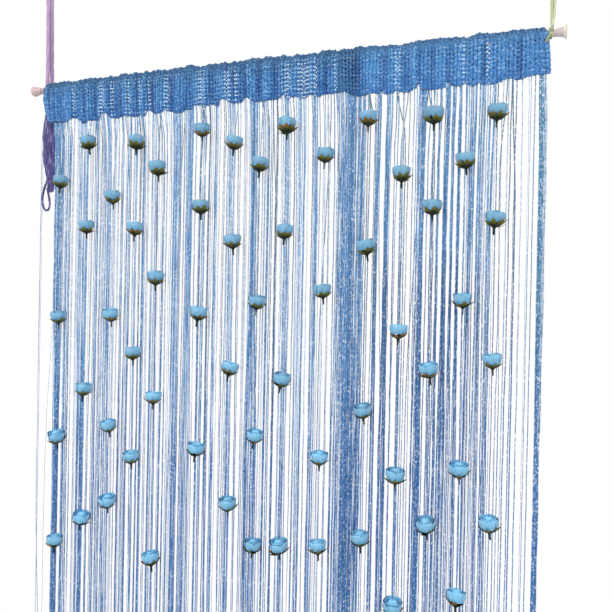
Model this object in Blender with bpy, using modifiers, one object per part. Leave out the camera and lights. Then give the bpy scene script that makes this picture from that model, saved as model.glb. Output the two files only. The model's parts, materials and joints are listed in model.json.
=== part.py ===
"""String curtain with satin rosebuds, gathered on a thin rod hung by two yarn ties.

Metres, +Z up. The origin is the middle of the rod's axis. X runs along the rod
to the viewer's right, and the front of the curtain faces -Y.
"""
import math
import random
from collections import namedtuple

import bpy
import bmesh
from mathutils import Vector

GAP = 0.0003                # between pieces that touch
SEED = 7

# Rod and end caps
ROD_RADIUS = 0.0040
ROD_HALF = 0.4330
CAP_INNER = 0.4230          # where each cap's narrow end begins
CAP_LENGTH = 0.0175
CapRing = namedtuple("CapRing", "along radius")
LEFT_CAP_PROFILE = (
    CapRing(0.0000, 0.0052),
    CapRing(0.0025, 0.0053),
    CapRing(0.0035, 0.0062),
    CapRing(0.0090, 0.0073),
    CapRing(0.0145, 0.0084),
    CapRing(0.0162, 0.0084),
    CapRing(0.0175, 0.0074),
)
RIGHT_CAP_PROFILE = (
    CapRing(0.0000, 0.0048),
    CapRing(0.0030, 0.0050),
    CapRing(0.0085, 0.0057),
    CapRing(0.0125, 0.0066),
    CapRing(0.0150, 0.0074),
    CapRing(0.0157, 0.0092),
    CapRing(0.0175, 0.0092),
)

# Heading: a gathered double net sleeve round the rod
HEADING_HALF = 0.4150
HEADING_COLUMNS = 88
CLOTH = 0.0018
HEM_HEIGHT = -0.0570        # average lower edge, from the rod's axis
POCKET_RISE = 0.0080        # the pocket ends this far above the hem
RIDGE_HEIGHT = 0.0064
# The ends aren't plumb: at each level they stand this far along the rod from HEADING_HALF
EndShift = namedtuple("EndShift", "left right")
END_REACH = 0.0200
RIDGE_ENDS = EndShift(0.0045, -0.0010)
HEM_ENDS = EndShift(0.0045, 0.0040)
Level = namedtuple("Level", "height half_depth front_share back_share ends")
ROD_LEVEL = Level(0.0030, 0.0080, 0.40, 0.40, EndShift(0.0055, 0.0))
UPPER = Level(-0.0160, 0.0060, 0.65, -0.35, EndShift(0.0025, 0.0012))
LOWER = Level(-0.0360, 0.0036, 0.90, -0.80, EndShift(0.0030, 0.0028))
POCKET_DROP = 0.0008        # the pocket is widest this far below the sleeve
HEM_HALF_DEPTH = 0.0016
RIDGE_RUFFLE = 0.22         # share of a fold's depth that lifts the top edge

# Each fold bulges towards the viewer; the valleys between them stay at zero
Fold = namedtuple("Fold", "centre reach depth")
FOLDS = (
    Fold(-0.394, 0.010, 0.0037),
    Fold(-0.360, 0.013, 0.0061),
    Fold(-0.318, 0.010, 0.0034),
    Fold(-0.289, 0.012, 0.0068),
    Fold(-0.245, 0.011, 0.0058),
    Fold(-0.214, 0.009, 0.0044),
    Fold(-0.172, 0.012, 0.0065),
    Fold(-0.140, 0.008, 0.0027),
    Fold(-0.101, 0.013, 0.0071),
    Fold(-0.058, 0.012, 0.0068),
    Fold(-0.018, 0.009, 0.0031),
    Fold(0.012, 0.008, 0.0037),
    Fold(0.052, 0.014, 0.0075),
    Fold(0.084, 0.009, 0.0048),
    Fold(0.137, 0.012, 0.0095),
    Fold(0.178, 0.011, 0.0061),
    Fold(0.212, 0.009, 0.0051),
    Fold(0.243, 0.008, 0.0031),
    Fold(0.276, 0.010, 0.0058),
    Fold(0.303, 0.008, 0.0044),
    Fold(0.327, 0.008, 0.0024),
    Fold(0.357, 0.012, 0.0068),
    Fold(0.397, 0.010, 0.0051),
)
# Where the lower edge is drawn up into a notch (rise > 0) or sags (rise < 0)
Notch = namedtuple("Notch", "centre reach rise")
NOTCHES = (
    Notch(-0.380, 0.020, -0.0020),
    Notch(-0.340, 0.030, -0.0030),
    Notch(-0.287, 0.006, 0.0070),
    Notch(-0.245, 0.020, -0.0020),
    Notch(-0.204, 0.006, 0.0065),
    Notch(-0.118, 0.006, 0.0060),
    Notch(-0.069, 0.006, 0.0050),
    Notch(-0.027, 0.006, 0.0060),
    Notch(0.037, 0.006, 0.0060),
    Notch(0.090, 0.020, 0.0015),
    Notch(0.165, 0.030, -0.0040),
    Notch(0.239, 0.006, 0.0050),
    Notch(0.262, 0.016, -0.0030),
    Notch(0.297, 0.006, 0.0055),
    Notch(0.330, 0.016, -0.0030),
    Notch(0.363, 0.007, 0.0060),
    Notch(0.415, 0.012, 0.0040),
)

# Strings
DROP_END = -1.9900          # cut ends, from the rod's axis
END_UNEVENNESS = 0.0040
STRIP_HEIGHT = 0.0025
STRIP_HALF_DEPTH = 0.0013
ROOT_SINK = 0.0013          # how far a string's root is sunk in its strip
STRAND_RADIUS = 0.0010
STRAND_COUNT = 164
STRAND_HALF_SPAN = 0.4115
ROOT_ROW = 0.0003           # half the distance between the two rows at the roots
STRAND_ROW = 0.0013         # and where the strings hang free
SETTLE_HEIGHT = -0.0780     # the strings have found their depth here
GATHER_HEIGHT = -0.2600     # and hang plumb from here on
SETTLED_SHARE = 0.10        # share of the sideways pull reached at SETTLE_HEIGHT
ROOT_CLEARANCE = 0.0028     # from a rose string's root to its neighbours
# Where neighbouring strings cling together
Clump = namedtuple("Clump", "centre reach pull")
CLUMPS = (
    Clump(-0.384, 0.014, 0.45),
    Clump(-0.328, 0.012, 0.45),
    Clump(-0.303, 0.008, 0.30),
    Clump(-0.238, 0.013, 0.45),
    Clump(-0.186, 0.012, 0.40),
    Clump(-0.148, 0.011, 0.50),
    Clump(-0.116, 0.010, 0.35),
    Clump(-0.044, 0.010, 0.30),
    Clump(-0.010, 0.016, 0.45),
    Clump(0.048, 0.011, 0.40),
    Clump(0.102, 0.010, 0.35),
    Clump(0.151, 0.026, 0.55),
    Clump(0.192, 0.009, 0.30),
    Clump(0.250, 0.013, 0.50),
    Clump(0.288, 0.011, 0.45),
    Clump(0.326, 0.013, 0.45),
    Clump(0.386, 0.012, 0.45),
)

# Rose strings: a rosebud's outline, from the top of its petals to its stem
ROSE_DEPTH = -0.0130        # the rose strings hang this far in front of the rod
ROSE_SIDES = 6
ROSE_RECESS = 0.0023        # the plain strings stand back this far behind roses
ROSE_RECESS_REACH = 0.0130
RoseRing = namedtuple("RoseRing", "height radius")
ROSE_PROFILE = (
    RoseRing(0.0080, 0.0085),
    RoseRing(0.0010, 0.0125),
    RoseRing(-0.0060, 0.0118),
)
ROSE_TOP = 0.0095
ROSE_STEM = -0.0140
PATTERN_REPEAT = 0.8300     # the first four roses of a string come again below
LAST_ROSE = -1.9500
RoseString = namedtuple("RoseString", "x first second third fourth")
ROSE_STRINGS = (
    RoseString(-0.367, -0.165, -0.399, -0.608, -0.789),
    RoseString(-0.312, -0.101, -0.244, -0.521, -0.742),
    RoseString(-0.260, -0.195, -0.393, -0.580, -0.707),
    RoseString(-0.215, -0.107, -0.249, -0.455, -0.628),
    RoseString(-0.174, -0.151, -0.330, -0.526, -0.790),
    RoseString(-0.094, -0.094, -0.217, -0.386, -0.603),
    RoseString(-0.037, -0.119, -0.272, -0.471, -0.684),
    RoseString(0.007, -0.155, -0.366, -0.574, -0.743),
    RoseString(0.050, -0.099, -0.259, -0.484, -0.738),
    RoseString(0.112, -0.146, -0.348, -0.597, -0.729),
    RoseString(0.176, -0.097, -0.283, -0.522, -0.708),
    RoseString(0.226, -0.180, -0.404, -0.611, -0.799),
    RoseString(0.270, -0.100, -0.228, -0.457, -0.676),
    RoseString(0.314, -0.166, -0.358, -0.593, -0.770),
    RoseString(0.355, -0.102, -0.247, -0.440, -0.663),
)

# Yarn ties
Wrap = namedtuple("Wrap", "x radius width")
LEFT_WRAP = Wrap(0.4165, 0.0056, 0.0040)
RIGHT_WRAP = Wrap(0.4202, 0.0068, 0.0046)
LEFT_YARN = 0.0062
RIGHT_YARN = 0.0038
TAIL_YARN = 0.0024
SPARE_YARN = 0.0036
POINT_SPACING = 2.0         # distance between a yarn's points, in diameters
LEFT_TIE_ROUTE = (
    (-0.4170, 0.0070, 0.0045),
    (-0.4174, 0.0071, 0.0500),
    (-0.4182, 0.0072, 0.1100),
    (-0.4190, 0.0072, 0.1680),
    (-0.4230, 0.0073, 0.1800),
    (-0.4285, 0.0077, 0.1910),
    (-0.4284, 0.0084, 0.2005),
    (-0.4236, 0.0092, 0.2078),
    (-0.4168, 0.0100, 0.2104),
    (-0.4100, 0.0108, 0.2078),
    (-0.4052, 0.0116, 0.2005),
    (-0.4051, 0.0123, 0.1910),
    (-0.4104, 0.0127, 0.1800),
    (-0.4144, 0.0128, 0.1680),
    (-0.4134, 0.0128, 0.1100),
    (-0.4122, 0.0128, 0.0500),
    (-0.4116, 0.0130, 0.0100),
    (-0.4134, 0.0166, -0.0125),
    (-0.4140, 0.0178, -0.0218),
)
RIGHT_TIE_ROUTE = (
    (0.4203, -0.0010, 0.0071),
    (0.4205, -0.0010, 0.0300),
    (0.4207, -0.0010, 0.0560),
    (0.4180, -0.0009, 0.0680),
    (0.4148, -0.0007, 0.0775),
    (0.4152, -0.0004, 0.0852),
    (0.4184, -0.0001, 0.0905),
    (0.4226, 0.0001, 0.0924),
    (0.4268, 0.0003, 0.0905),
    (0.4300, 0.0006, 0.0852),
    (0.4304, 0.0009, 0.0775),
    (0.4272, 0.0011, 0.0680),
    (0.4247, 0.0012, 0.0560),
    (0.4244, 0.0012, 0.0300),
    (0.4230, 0.0012, 0.0071),
)
KNOT_CENTRE = (0.4213, -0.0085, -0.0050)
KNOT_RADIUS = 0.0028
TAIL_ROUTE = (
    (0.4186, -0.0098, -0.0070),
    (0.4170, -0.0106, -0.0090),
    (0.4162, -0.0112, -0.0115),
    (0.4150, -0.0114, -0.0150),
)
# The spare yarn's hank, tied in above its lower end
HankRing = namedtuple("HankRing", "height x half_width half_depth")
HANK_DEPTH = 0.0178
HANK_SIDES = 8
HANK_RINGS = (
    HankRing(-0.0225, -0.4140, 0.0036, 0.0034),
    HankRing(-0.0420, -0.4160, 0.0120, 0.0050),
    HankRing(-0.0750, -0.4176, 0.0130, 0.0055),
    HankRing(-0.1050, -0.4178, 0.0124, 0.0055),
    HankRing(-0.1320, -0.4172, 0.0108, 0.0050),
    HankRing(-0.1480, -0.4166, 0.0074, 0.0042),
    HankRing(-0.1590, -0.4158, 0.0054, 0.0040),
    HankRing(-0.1710, -0.4140, 0.0064, 0.0038),
    HankRing(-0.1800, -0.4120, 0.0040, 0.0030),
)
SPARE_LOOP_ROUTE = (
    (-0.4240, 0.0178, -0.1560),
    (-0.4276, 0.0178, -0.1650),
    (-0.4315, 0.0178, -0.1760),
    (-0.4335, 0.0178, -0.1880),
    (-0.4322, 0.0178, -0.2000),
    (-0.4280, 0.0178, -0.2085),
    (-0.4228, 0.0178, -0.2106),
    (-0.4184, 0.0178, -0.2070),
    (-0.4168, 0.0178, -0.1990),
    (-0.4178, 0.0178, -0.1900),
    (-0.4206, 0.0178, -0.1790),
    (-0.4231, 0.0178, -0.1690),
)


# Scene and objects

def clear_scene():
    for obj in list(bpy.data.objects):
        bpy.data.objects.remove(obj, do_unlink=True)


def new_collection(name):
    collection = bpy.data.collections.new(name)
    bpy.context.scene.collection.children.link(collection)
    return collection


def new_material(name, colour, roughness, metallic=0.0):
    material = bpy.data.materials.new(name)
    material.use_nodes = True
    shader = material.node_tree.nodes["Principled BSDF"]
    shader.inputs["Base Color"].default_value = (*colour, 1.0)
    shader.inputs["Roughness"].default_value = roughness
    shader.inputs["Metallic"].default_value = metallic
    material.diffuse_color = (*colour, 1.0)
    return material


def add_object(name, data, collection, material=None):
    obj = bpy.data.objects.new(name, data)
    collection.objects.link(obj)
    if material:
        data.materials.append(material)
    return obj


def mesh_from(name, build):
    """A mesh made by a function that fills a bmesh, with its faces turned outwards."""
    mesh = bpy.data.meshes.new(name)
    bm = bmesh.new()
    build(bm)
    bmesh.ops.recalc_face_normals(bm, faces=bm.faces)
    bm.to_mesh(mesh)
    bm.free()
    return mesh


def shade_round(mesh, angle=50.0):
    mesh.shade_smooth()
    mesh.set_sharp_from_angle(angle=math.radians(angle))


# Shape functions of the cloth

def fold_depth(x):
    """How far the folds bulge towards the viewer at x."""
    return sum(f.depth * math.exp(-((x - f.centre) / f.reach) ** 2) for f in FOLDS)


def hem_height(x):
    """Height of the heading's lower edge at x."""
    return HEM_HEIGHT + sum(n.rise * math.exp(-((x - n.centre) / n.reach) ** 2) for n in NOTCHES)


def column_positions():
    step = 2 * HEADING_HALF / HEADING_COLUMNS
    return [-HEADING_HALF + step * i for i in range(HEADING_COLUMNS + 1)]


def along_columns(x, function):
    """The function's value at x, read on the straight line between two columns."""
    step = 2 * HEADING_HALF / HEADING_COLUMNS
    place = min(max((x + HEADING_HALF) / step, 0.0), HEADING_COLUMNS - 1e-6)
    left = int(place)
    share = place - left
    x_left = -HEADING_HALF + step * left
    return function(x_left) * (1 - share) + function(x_left + step) * share


# Heading

def moved_end(x, ends):
    """x, moved along the rod where it is near one of the heading's ends."""
    share = min(max((abs(x) - HEADING_HALF + END_REACH) / END_REACH, 0.0), 1.0)
    return x + share * (ends.left if x < 0 else ends.right)


def outer_section(x):
    """The sleeve's outer outline at x: ridge, down the front, hem, up the back."""
    front = fold_depth(x)
    back = fold_depth(-x)
    hem = hem_height(x)
    points = [(moved_end(x, RIDGE_ENDS), 0.0, RIDGE_HEIGHT + RIDGE_RUFFLE * front)]
    for level in (ROD_LEVEL, UPPER, LOWER):
        points.append((moved_end(x, level.ends),
                       -level.half_depth - level.front_share * front, level.height))
    points.append((moved_end(x, HEM_ENDS), -HEM_HALF_DEPTH - front, hem))
    points.append((moved_end(x, HEM_ENDS), HEM_HALF_DEPTH - front, hem))
    for level in (LOWER, UPPER):
        points.append((moved_end(x, level.ends),
                       level.half_depth + level.back_share * front, level.height))
    points.append((moved_end(x, ROD_LEVEL.ends),
                   ROD_LEVEL.half_depth + ROD_LEVEL.back_share * back, ROD_LEVEL.height))
    return points


def inner_section(x):
    """The pocket's outline at x, one cloth's thickness inside the outer one."""
    front = fold_depth(x)
    back = fold_depth(-x)
    rod_x = moved_end(x, ROD_LEVEL.ends)
    points = [(moved_end(x, RIDGE_ENDS), 0.0, RIDGE_HEIGHT - CLOTH)]
    points.append((rod_x, -ROD_LEVEL.half_depth + CLOTH - ROD_LEVEL.front_share * front,
                   ROD_LEVEL.height - POCKET_DROP))
    for level in (UPPER, LOWER):
        points.append((moved_end(x, level.ends),
                       -level.half_depth + CLOTH - level.front_share * front, level.height))
    points.append((moved_end(x, HEM_ENDS), -front, hem_height(x) + POCKET_RISE))
    for level in (LOWER, UPPER):
        points.append((moved_end(x, level.ends),
                       level.half_depth - CLOTH + level.back_share * front, level.height))
    points.append((rod_x, ROD_LEVEL.half_depth - CLOTH + ROD_LEVEL.back_share * back,
                   ROD_LEVEL.height - POCKET_DROP))
    return points


def skin(bm, rings):
    """Quads between neighbouring rings that have the same number of points."""
    for ring, following in zip(rings, rings[1:]):
        count = len(ring)
        for j in range(count):
            k = (j + 1) % count
            bm.faces.new((ring[j], ring[k], following[k], following[j]))


def close_sleeve_end(bm, outer, inner):
    """Joins one end's outer points to the inner ones, which have one point fewer at the hem."""
    hem_front = len(inner) // 2
    for j in range(hem_front):
        bm.faces.new((outer[j], outer[j + 1], inner[j + 1], inner[j]))
    bm.faces.new((outer[hem_front], outer[hem_front + 1], inner[hem_front]))
    for j in range(hem_front, len(inner)):
        following_outer = outer[(j + 2) % len(outer)]
        following_inner = inner[(j + 1) % len(inner)]
        bm.faces.new((outer[j + 1], following_outer, following_inner, inner[j]))


def build_heading(bm):
    outer = []
    inner = []
    for x in column_positions():
        outer.append([bm.verts.new(point) for point in outer_section(x)])
        inner.append([bm.verts.new(point) for point in inner_section(x)])
    skin(bm, outer)
    skin(bm, inner)
    close_sleeve_end(bm, outer[0], inner[0])
    close_sleeve_end(bm, outer[-1], inner[-1])


# Strings

def build_strip(bm):
    """The narrow strip under the hem that the plain strings are fused to."""
    rings = []
    for x in column_positions():
        top = hem_height(x) - GAP
        centre = -fold_depth(x)
        corners = ((-1, 0), (-1, 1), (1, 1), (1, 0))
        rings.append([
            bm.verts.new((moved_end(x, HEM_ENDS), centre + side * STRIP_HALF_DEPTH,
                          top - down * STRIP_HEIGHT))
            for side, down in corners
        ])
    skin(bm, rings)
    bm.faces.new(rings[0])
    bm.faces.new(rings[-1])


def strip_underside(x):
    return along_columns(x, hem_height) - GAP - STRIP_HEIGHT


def gathered_x(x):
    """Where a string that is rooted at x hangs, once its clump has drawn it in."""
    pull = sum(
        c.pull * (x - c.centre) * math.exp(-0.5 * ((x - c.centre) / c.reach) ** 2)
        for c in CLUMPS
    )
    return x - pull


def hanging_depth(x):
    """How far behind the rod the plain strings hang, so that the roses fit in front."""
    recess = max(math.exp(-((x - r.x) / ROSE_RECESS_REACH) ** 4) for r in ROSE_STRINGS)
    return ROSE_RECESS * recess


def root_positions():
    """Even roots along the strip, moved a little where a rose string is rooted."""
    pitch = 2 * STRAND_HALF_SPAN / STRAND_COUNT
    roots = []
    for i in range(STRAND_COUNT):
        x = -STRAND_HALF_SPAN + pitch * (i + 0.5)
        for rose in ROSE_STRINGS:
            offset = x - rose.x
            if abs(offset) < ROOT_CLEARANCE:
                x = rose.x + math.copysign(ROOT_CLEARANCE, offset)
        roots.append(x)
    return roots


def strand_points(index, root_x, end):
    """A plain string: from its root to its depth, to its clump, then plumb."""
    row = 1 if index % 2 else -1
    hang_x = gathered_x(root_x)
    hang_y = hanging_depth(hang_x) + row * STRAND_ROW
    root_y = -along_columns(root_x, fold_depth) + row * ROOT_ROW
    moved_x = moved_end(root_x, HEM_ENDS)
    settled_x = moved_x + SETTLED_SHARE * (hang_x - moved_x)
    return (
        (moved_x, root_y, strip_underside(root_x) + ROOT_SINK),
        (settled_x, hang_y, SETTLE_HEIGHT),
        (hang_x, hang_y, GATHER_HEIGHT),
        (hang_x, hang_y, end),
    )


def triangle_section(collection):
    """Three-sided section that the strings are swept with."""
    curve = bpy.data.curves.new("strand_section", "CURVE")
    curve.dimensions = "2D"
    spline = curve.splines.new("POLY")
    spline.points.add(2)
    for i, point in enumerate(spline.points):
        turn = math.tau * i / 3
        point.co = (STRAND_RADIUS * math.cos(turn), STRAND_RADIUS * math.sin(turn), 0.0, 1.0)
    spline.use_cyclic_u = True
    guide = add_object("strand_section", curve, collection)
    guide.hide_render = True
    guide.display_type = "WIRE"
    return guide


def mesh_from_curve(curve_object):
    """The curve's swept surface as a closed mesh, its caps welded on."""
    graph = bpy.context.evaluated_depsgraph_get()
    mesh = bpy.data.meshes.new_from_object(curve_object.evaluated_get(graph))
    bm = bmesh.new()
    bm.from_mesh(mesh)
    bmesh.ops.remove_doubles(bm, verts=bm.verts, dist=0.00002)
    bmesh.ops.recalc_face_normals(bm, faces=bm.faces)
    bm.to_mesh(mesh)
    bm.free()
    return mesh


def make_plain_strings(parts, guides, material):
    """All plain strings with their strip, one body."""
    rng = random.Random(SEED)
    curve = bpy.data.curves.new("plain_strings", "CURVE")
    curve.dimensions = "3D"
    curve.bevel_mode = "OBJECT"
    curve.bevel_object = triangle_section(guides)
    curve.use_fill_caps = True
    for index, root_x in enumerate(root_positions()):
        end = DROP_END + rng.uniform(-END_UNEVENNESS, END_UNEVENNESS)
        points = strand_points(index, root_x, end)
        spline = curve.splines.new("POLY")
        spline.points.add(len(points) - 1)
        for point, place in zip(spline.points, points):
            point.co = (*place, 1.0)
    swept = add_object("swept_strings", curve, guides)
    bpy.context.view_layer.update()
    strands = add_object("strands", mesh_from_curve(swept), guides)
    strands.matrix_world = swept.matrix_world
    strands.hide_render = True
    strands.display_type = "WIRE"
    bpy.data.objects.remove(swept, do_unlink=True)

    strip = add_object("string_strip", mesh_from("string_strip", build_strip), parts, material)
    union = strip.modifiers.new("strings", "BOOLEAN")
    union.operation = "UNION"
    union.solver = "EXACT"
    union.object = strands


# Rose strings

def ring_at(bm, centre, radius, sides):
    """A level ring; its first point faces the viewer."""
    x, y, z = centre
    turns = [math.tau * i / sides for i in range(sides)]
    return [
        bm.verts.new((x + radius * math.sin(t), y - radius * math.cos(t), z)) for t in turns
    ]


def bridge(bm, first, second):
    """Faces between two rings, one of which may have twice the other's points."""
    if len(first) == len(second):
        skin(bm, [first, second])
        return
    small, large = sorted((first, second), key=len)
    count = len(small)
    for j in range(count):
        k = (j + 1) % count
        before = large[(2 * j - 1) % len(large)]
        same = large[2 * j]
        after = large[2 * j + 1]
        bm.faces.new((small[j], before, same))
        bm.faces.new((small[j], same, after))
        bm.faces.new((small[j], after, small[k]))


def rose_heights(row):
    """Heights of a string's roses from the top down, the pattern repeated to the end."""
    pattern = (row.first, row.second, row.third, row.fourth)
    heights = []
    repeat = 0
    while pattern[0] - repeat * PATTERN_REPEAT > LAST_ROSE:
        heights += [h - repeat * PATTERN_REPEAT for h in pattern]
        repeat += 1
    return [h for h in heights if h > LAST_ROSE]


def build_rose_string(bm, row, end):
    """One string and its rosebuds, swept from the root to the cut end."""
    strand_sides = ROSE_SIDES // 2
    rings = [ring_at(bm, (row.x, -along_columns(row.x, fold_depth),
                          strip_underside(row.x) - 2 * GAP), STRAND_RADIUS, strand_sides)]
    for height in rose_heights(row):
        rings.append(ring_at(bm, (row.x, ROSE_DEPTH, height + ROSE_TOP),
                             STRAND_RADIUS, strand_sides))
        for ring in ROSE_PROFILE:
            rings.append(ring_at(bm, (row.x, ROSE_DEPTH, height + ring.height),
                                 ring.radius, ROSE_SIDES))
        rings.append(ring_at(bm, (row.x, ROSE_DEPTH, height + ROSE_STEM),
                             STRAND_RADIUS, strand_sides))
    rings.append(ring_at(bm, (row.x, ROSE_DEPTH, end), STRAND_RADIUS, strand_sides))
    for first, second in zip(rings, rings[1:]):
        bridge(bm, first, second)
    bm.faces.new(rings[0])
    bm.faces.new(rings[-1])


def make_rose_strings(parts, material):
    rng = random.Random(SEED + 1)
    for number, row in enumerate(ROSE_STRINGS, start=1):
        name = f"rose_string_{number:02d}"
        end = DROP_END + rng.uniform(-END_UNEVENNESS, END_UNEVENNESS)
        mesh = mesh_from(name, lambda bm: build_rose_string(bm, row, end))
        shade_round(mesh)
        add_object(name, mesh, parts, material)


# Turned pieces

def turned(name, profile, steps, collection, material):
    """A profile of (radius, height) points turned about its own Z axis."""
    mesh = bpy.data.meshes.new(name)
    points = [(radius, 0.0, height) for radius, height in profile]
    edges = [(i, i + 1) for i in range(len(points) - 1)]
    mesh.from_pydata(points, edges, [])
    obj = add_object(name, mesh, collection, material)
    screw = obj.modifiers.new("turn", "SCREW")
    screw.steps = steps
    screw.render_steps = steps
    screw.use_merge_vertices = True
    screw.merge_threshold = 0.00002
    screw.use_smooth_shade = True
    return obj


def lay_along_rod(obj, x, side):
    """Turns a piece's Z axis along the rod, away from the middle of the curtain."""
    obj.location = (x * side, 0.0, 0.0)
    obj.rotation_euler = (0.0, side * math.pi / 2, 0.0)


def make_rod(parts, material):
    bpy.ops.mesh.primitive_cylinder_add(
        vertices=16, radius=ROD_RADIUS, depth=2 * ROD_HALF, rotation=(0.0, math.pi / 2, 0.0))
    rod = bpy.context.object
    rod.name = "rod"
    rod.data.name = "rod"
    rod.data.materials.append(material)
    shade_round(rod.data)
    for collection in list(rod.users_collection):
        collection.objects.unlink(rod)
    parts.objects.link(rod)


def make_end_cap(name, side, rings, parts, material):
    """A flared cap with a blind bore for the rod's end."""
    bore = ROD_RADIUS + GAP
    bore_depth = ROD_HALF - CAP_INNER + GAP
    profile = [(0.0, CAP_LENGTH)]
    profile += [(ring.radius, ring.along) for ring in reversed(rings)]
    profile += [(bore, 0.0), (bore, bore_depth), (0.0, bore_depth)]
    cap = turned(name, profile, 12, parts, material)
    lay_along_rod(cap, CAP_INNER, side)


def make_wrap(name, side, wrap, parts, material):
    """The turns of yarn round the rod, as one rounded ring."""
    inner = ROD_RADIUS + GAP
    half = wrap.width / 2
    shoulder = half * 0.55
    edge = (wrap.radius + inner) / 2
    profile = [
        (inner, half), (edge, half), (wrap.radius, shoulder),
        (wrap.radius, -shoulder), (edge, -half), (inner, -half), (inner, half),
    ]
    ring = turned(name, profile, 12, parts, material)
    lay_along_rod(ring, wrap.x, side)


# Yarn ties

def smooth_route(route, spacing):
    """Evenly spaced points on a smooth curve through the route's own points."""
    anchors = [Vector(p) for p in route]
    padded = [2 * anchors[0] - anchors[1]] + anchors + [2 * anchors[-1] - anchors[-2]]
    fine = []
    steps = 24
    for before, start, stop, after in zip(padded, padded[1:], padded[2:], padded[3:]):
        for i in range(steps):
            t = i / steps
            fine.append(0.5 * (
                2 * start + (stop - before) * t
                + (2 * before - 5 * start + 4 * stop - after) * t ** 2
                + (3 * start - before - 3 * stop + after) * t ** 3))
    fine.append(anchors[-1])
    total = sum((b - a).length for a, b in zip(fine, fine[1:]))
    count = max(3, round(total / spacing))
    points = [fine[0]]
    travelled = 0.0
    for a, b in zip(fine, fine[1:]):
        travelled += (b - a).length
        if travelled >= len(points) * total / count and len(points) < count:
            points.append(b)
    points.append(fine[-1])
    return points


def make_yarn(name, route, diameter, parts, material):
    curve = bpy.data.curves.new(name, "CURVE")
    curve.dimensions = "3D"
    curve.bevel_depth = diameter / 2
    curve.bevel_resolution = 2
    curve.use_fill_caps = True
    points = smooth_route(route, POINT_SPACING * diameter)
    spline = curve.splines.new("POLY")
    spline.points.add(len(points) - 1)
    for point, place in zip(spline.points, points):
        point.co = (*place, 1.0)
    spline.use_smooth = True
    add_object(name, curve, parts, material)


def build_hank(bm):
    """The spare yarn's bundle, swept down through its rings."""
    rings = []
    for row in HANK_RINGS:
        turns = [math.tau * i / HANK_SIDES for i in range(HANK_SIDES)]
        rings.append([
            bm.verts.new((row.x + row.half_width * math.sin(t),
                          HANK_DEPTH - row.half_depth * math.cos(t), row.height))
            for t in turns
        ])
    skin(bm, rings)
    bm.faces.new(rings[0])
    bm.faces.new(rings[-1])


def make_left_tie(parts, material):
    make_wrap("wrap_left", -1, LEFT_WRAP, parts, material)
    make_yarn("tie_left", LEFT_TIE_ROUTE, LEFT_YARN, parts, material)
    hank = mesh_from("spare_hank", build_hank)
    shade_round(hank, 80.0)
    add_object("spare_hank", hank, parts, material)
    make_yarn("spare_loop", SPARE_LOOP_ROUTE, SPARE_YARN, parts, material)


def make_right_tie(parts, material):
    make_wrap("wrap_right", 1, RIGHT_WRAP, parts, material)
    make_yarn("tie_right", RIGHT_TIE_ROUTE, RIGHT_YARN, parts, material)
    make_yarn("tail_right", TAIL_ROUTE, TAIL_YARN, parts, material)
    bpy.ops.mesh.primitive_uv_sphere_add(
        segments=10, ring_count=6, radius=KNOT_RADIUS, location=KNOT_CENTRE)
    knot = bpy.context.object
    knot.name = "knot_right"
    knot.data.name = "knot_right"
    knot.data.materials.append(material)
    shade_round(knot.data, 80.0)
    for collection in list(knot.users_collection):
        collection.objects.unlink(knot)
    parts.objects.link(knot)


def main():
    clear_scene()
    parts = new_collection("string_curtain")
    guides = new_collection("guides")

    net = new_material("blue_net", (0.040, 0.150, 0.420), 0.75)
    string = new_material("blue_string", (0.070, 0.220, 0.560), 0.55)
    rose = new_material("sky_blue_satin", (0.180, 0.460, 0.680), 0.45)
    rod_finish = new_material("pinkish_metal", (0.540, 0.330, 0.290), 0.40, 0.3)
    cap_finish = new_material("dusty_pink_plastic", (0.560, 0.350, 0.310), 0.45)
    purple_yarn = new_material("purple_yarn", (0.300, 0.140, 0.420), 0.85)
    green_yarn = new_material("pale_green_yarn", (0.560, 0.620, 0.300), 0.85)

    heading = mesh_from("heading", build_heading)
    shade_round(heading)
    add_object("heading", heading, parts, net)
    make_plain_strings(parts, guides, string)
    make_rose_strings(parts, rose)
    make_rod(parts, rod_finish)
    make_end_cap("end_cap_left", -1, LEFT_CAP_PROFILE, parts, cap_finish)
    make_end_cap("end_cap_right", 1, RIGHT_CAP_PROFILE, parts, cap_finish)
    make_left_tie(parts, purple_yarn)
    make_right_tie(parts, green_yarn)


main()
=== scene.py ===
"""String curtain with satin rosebuds, gathered on a thin rod that hangs by two yarn ties.

Metres, +Z up. The origin is the middle of the rod's axis, X runs along the rod to
the viewer's right, and the front of the curtain faces -Y.
"""

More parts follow.
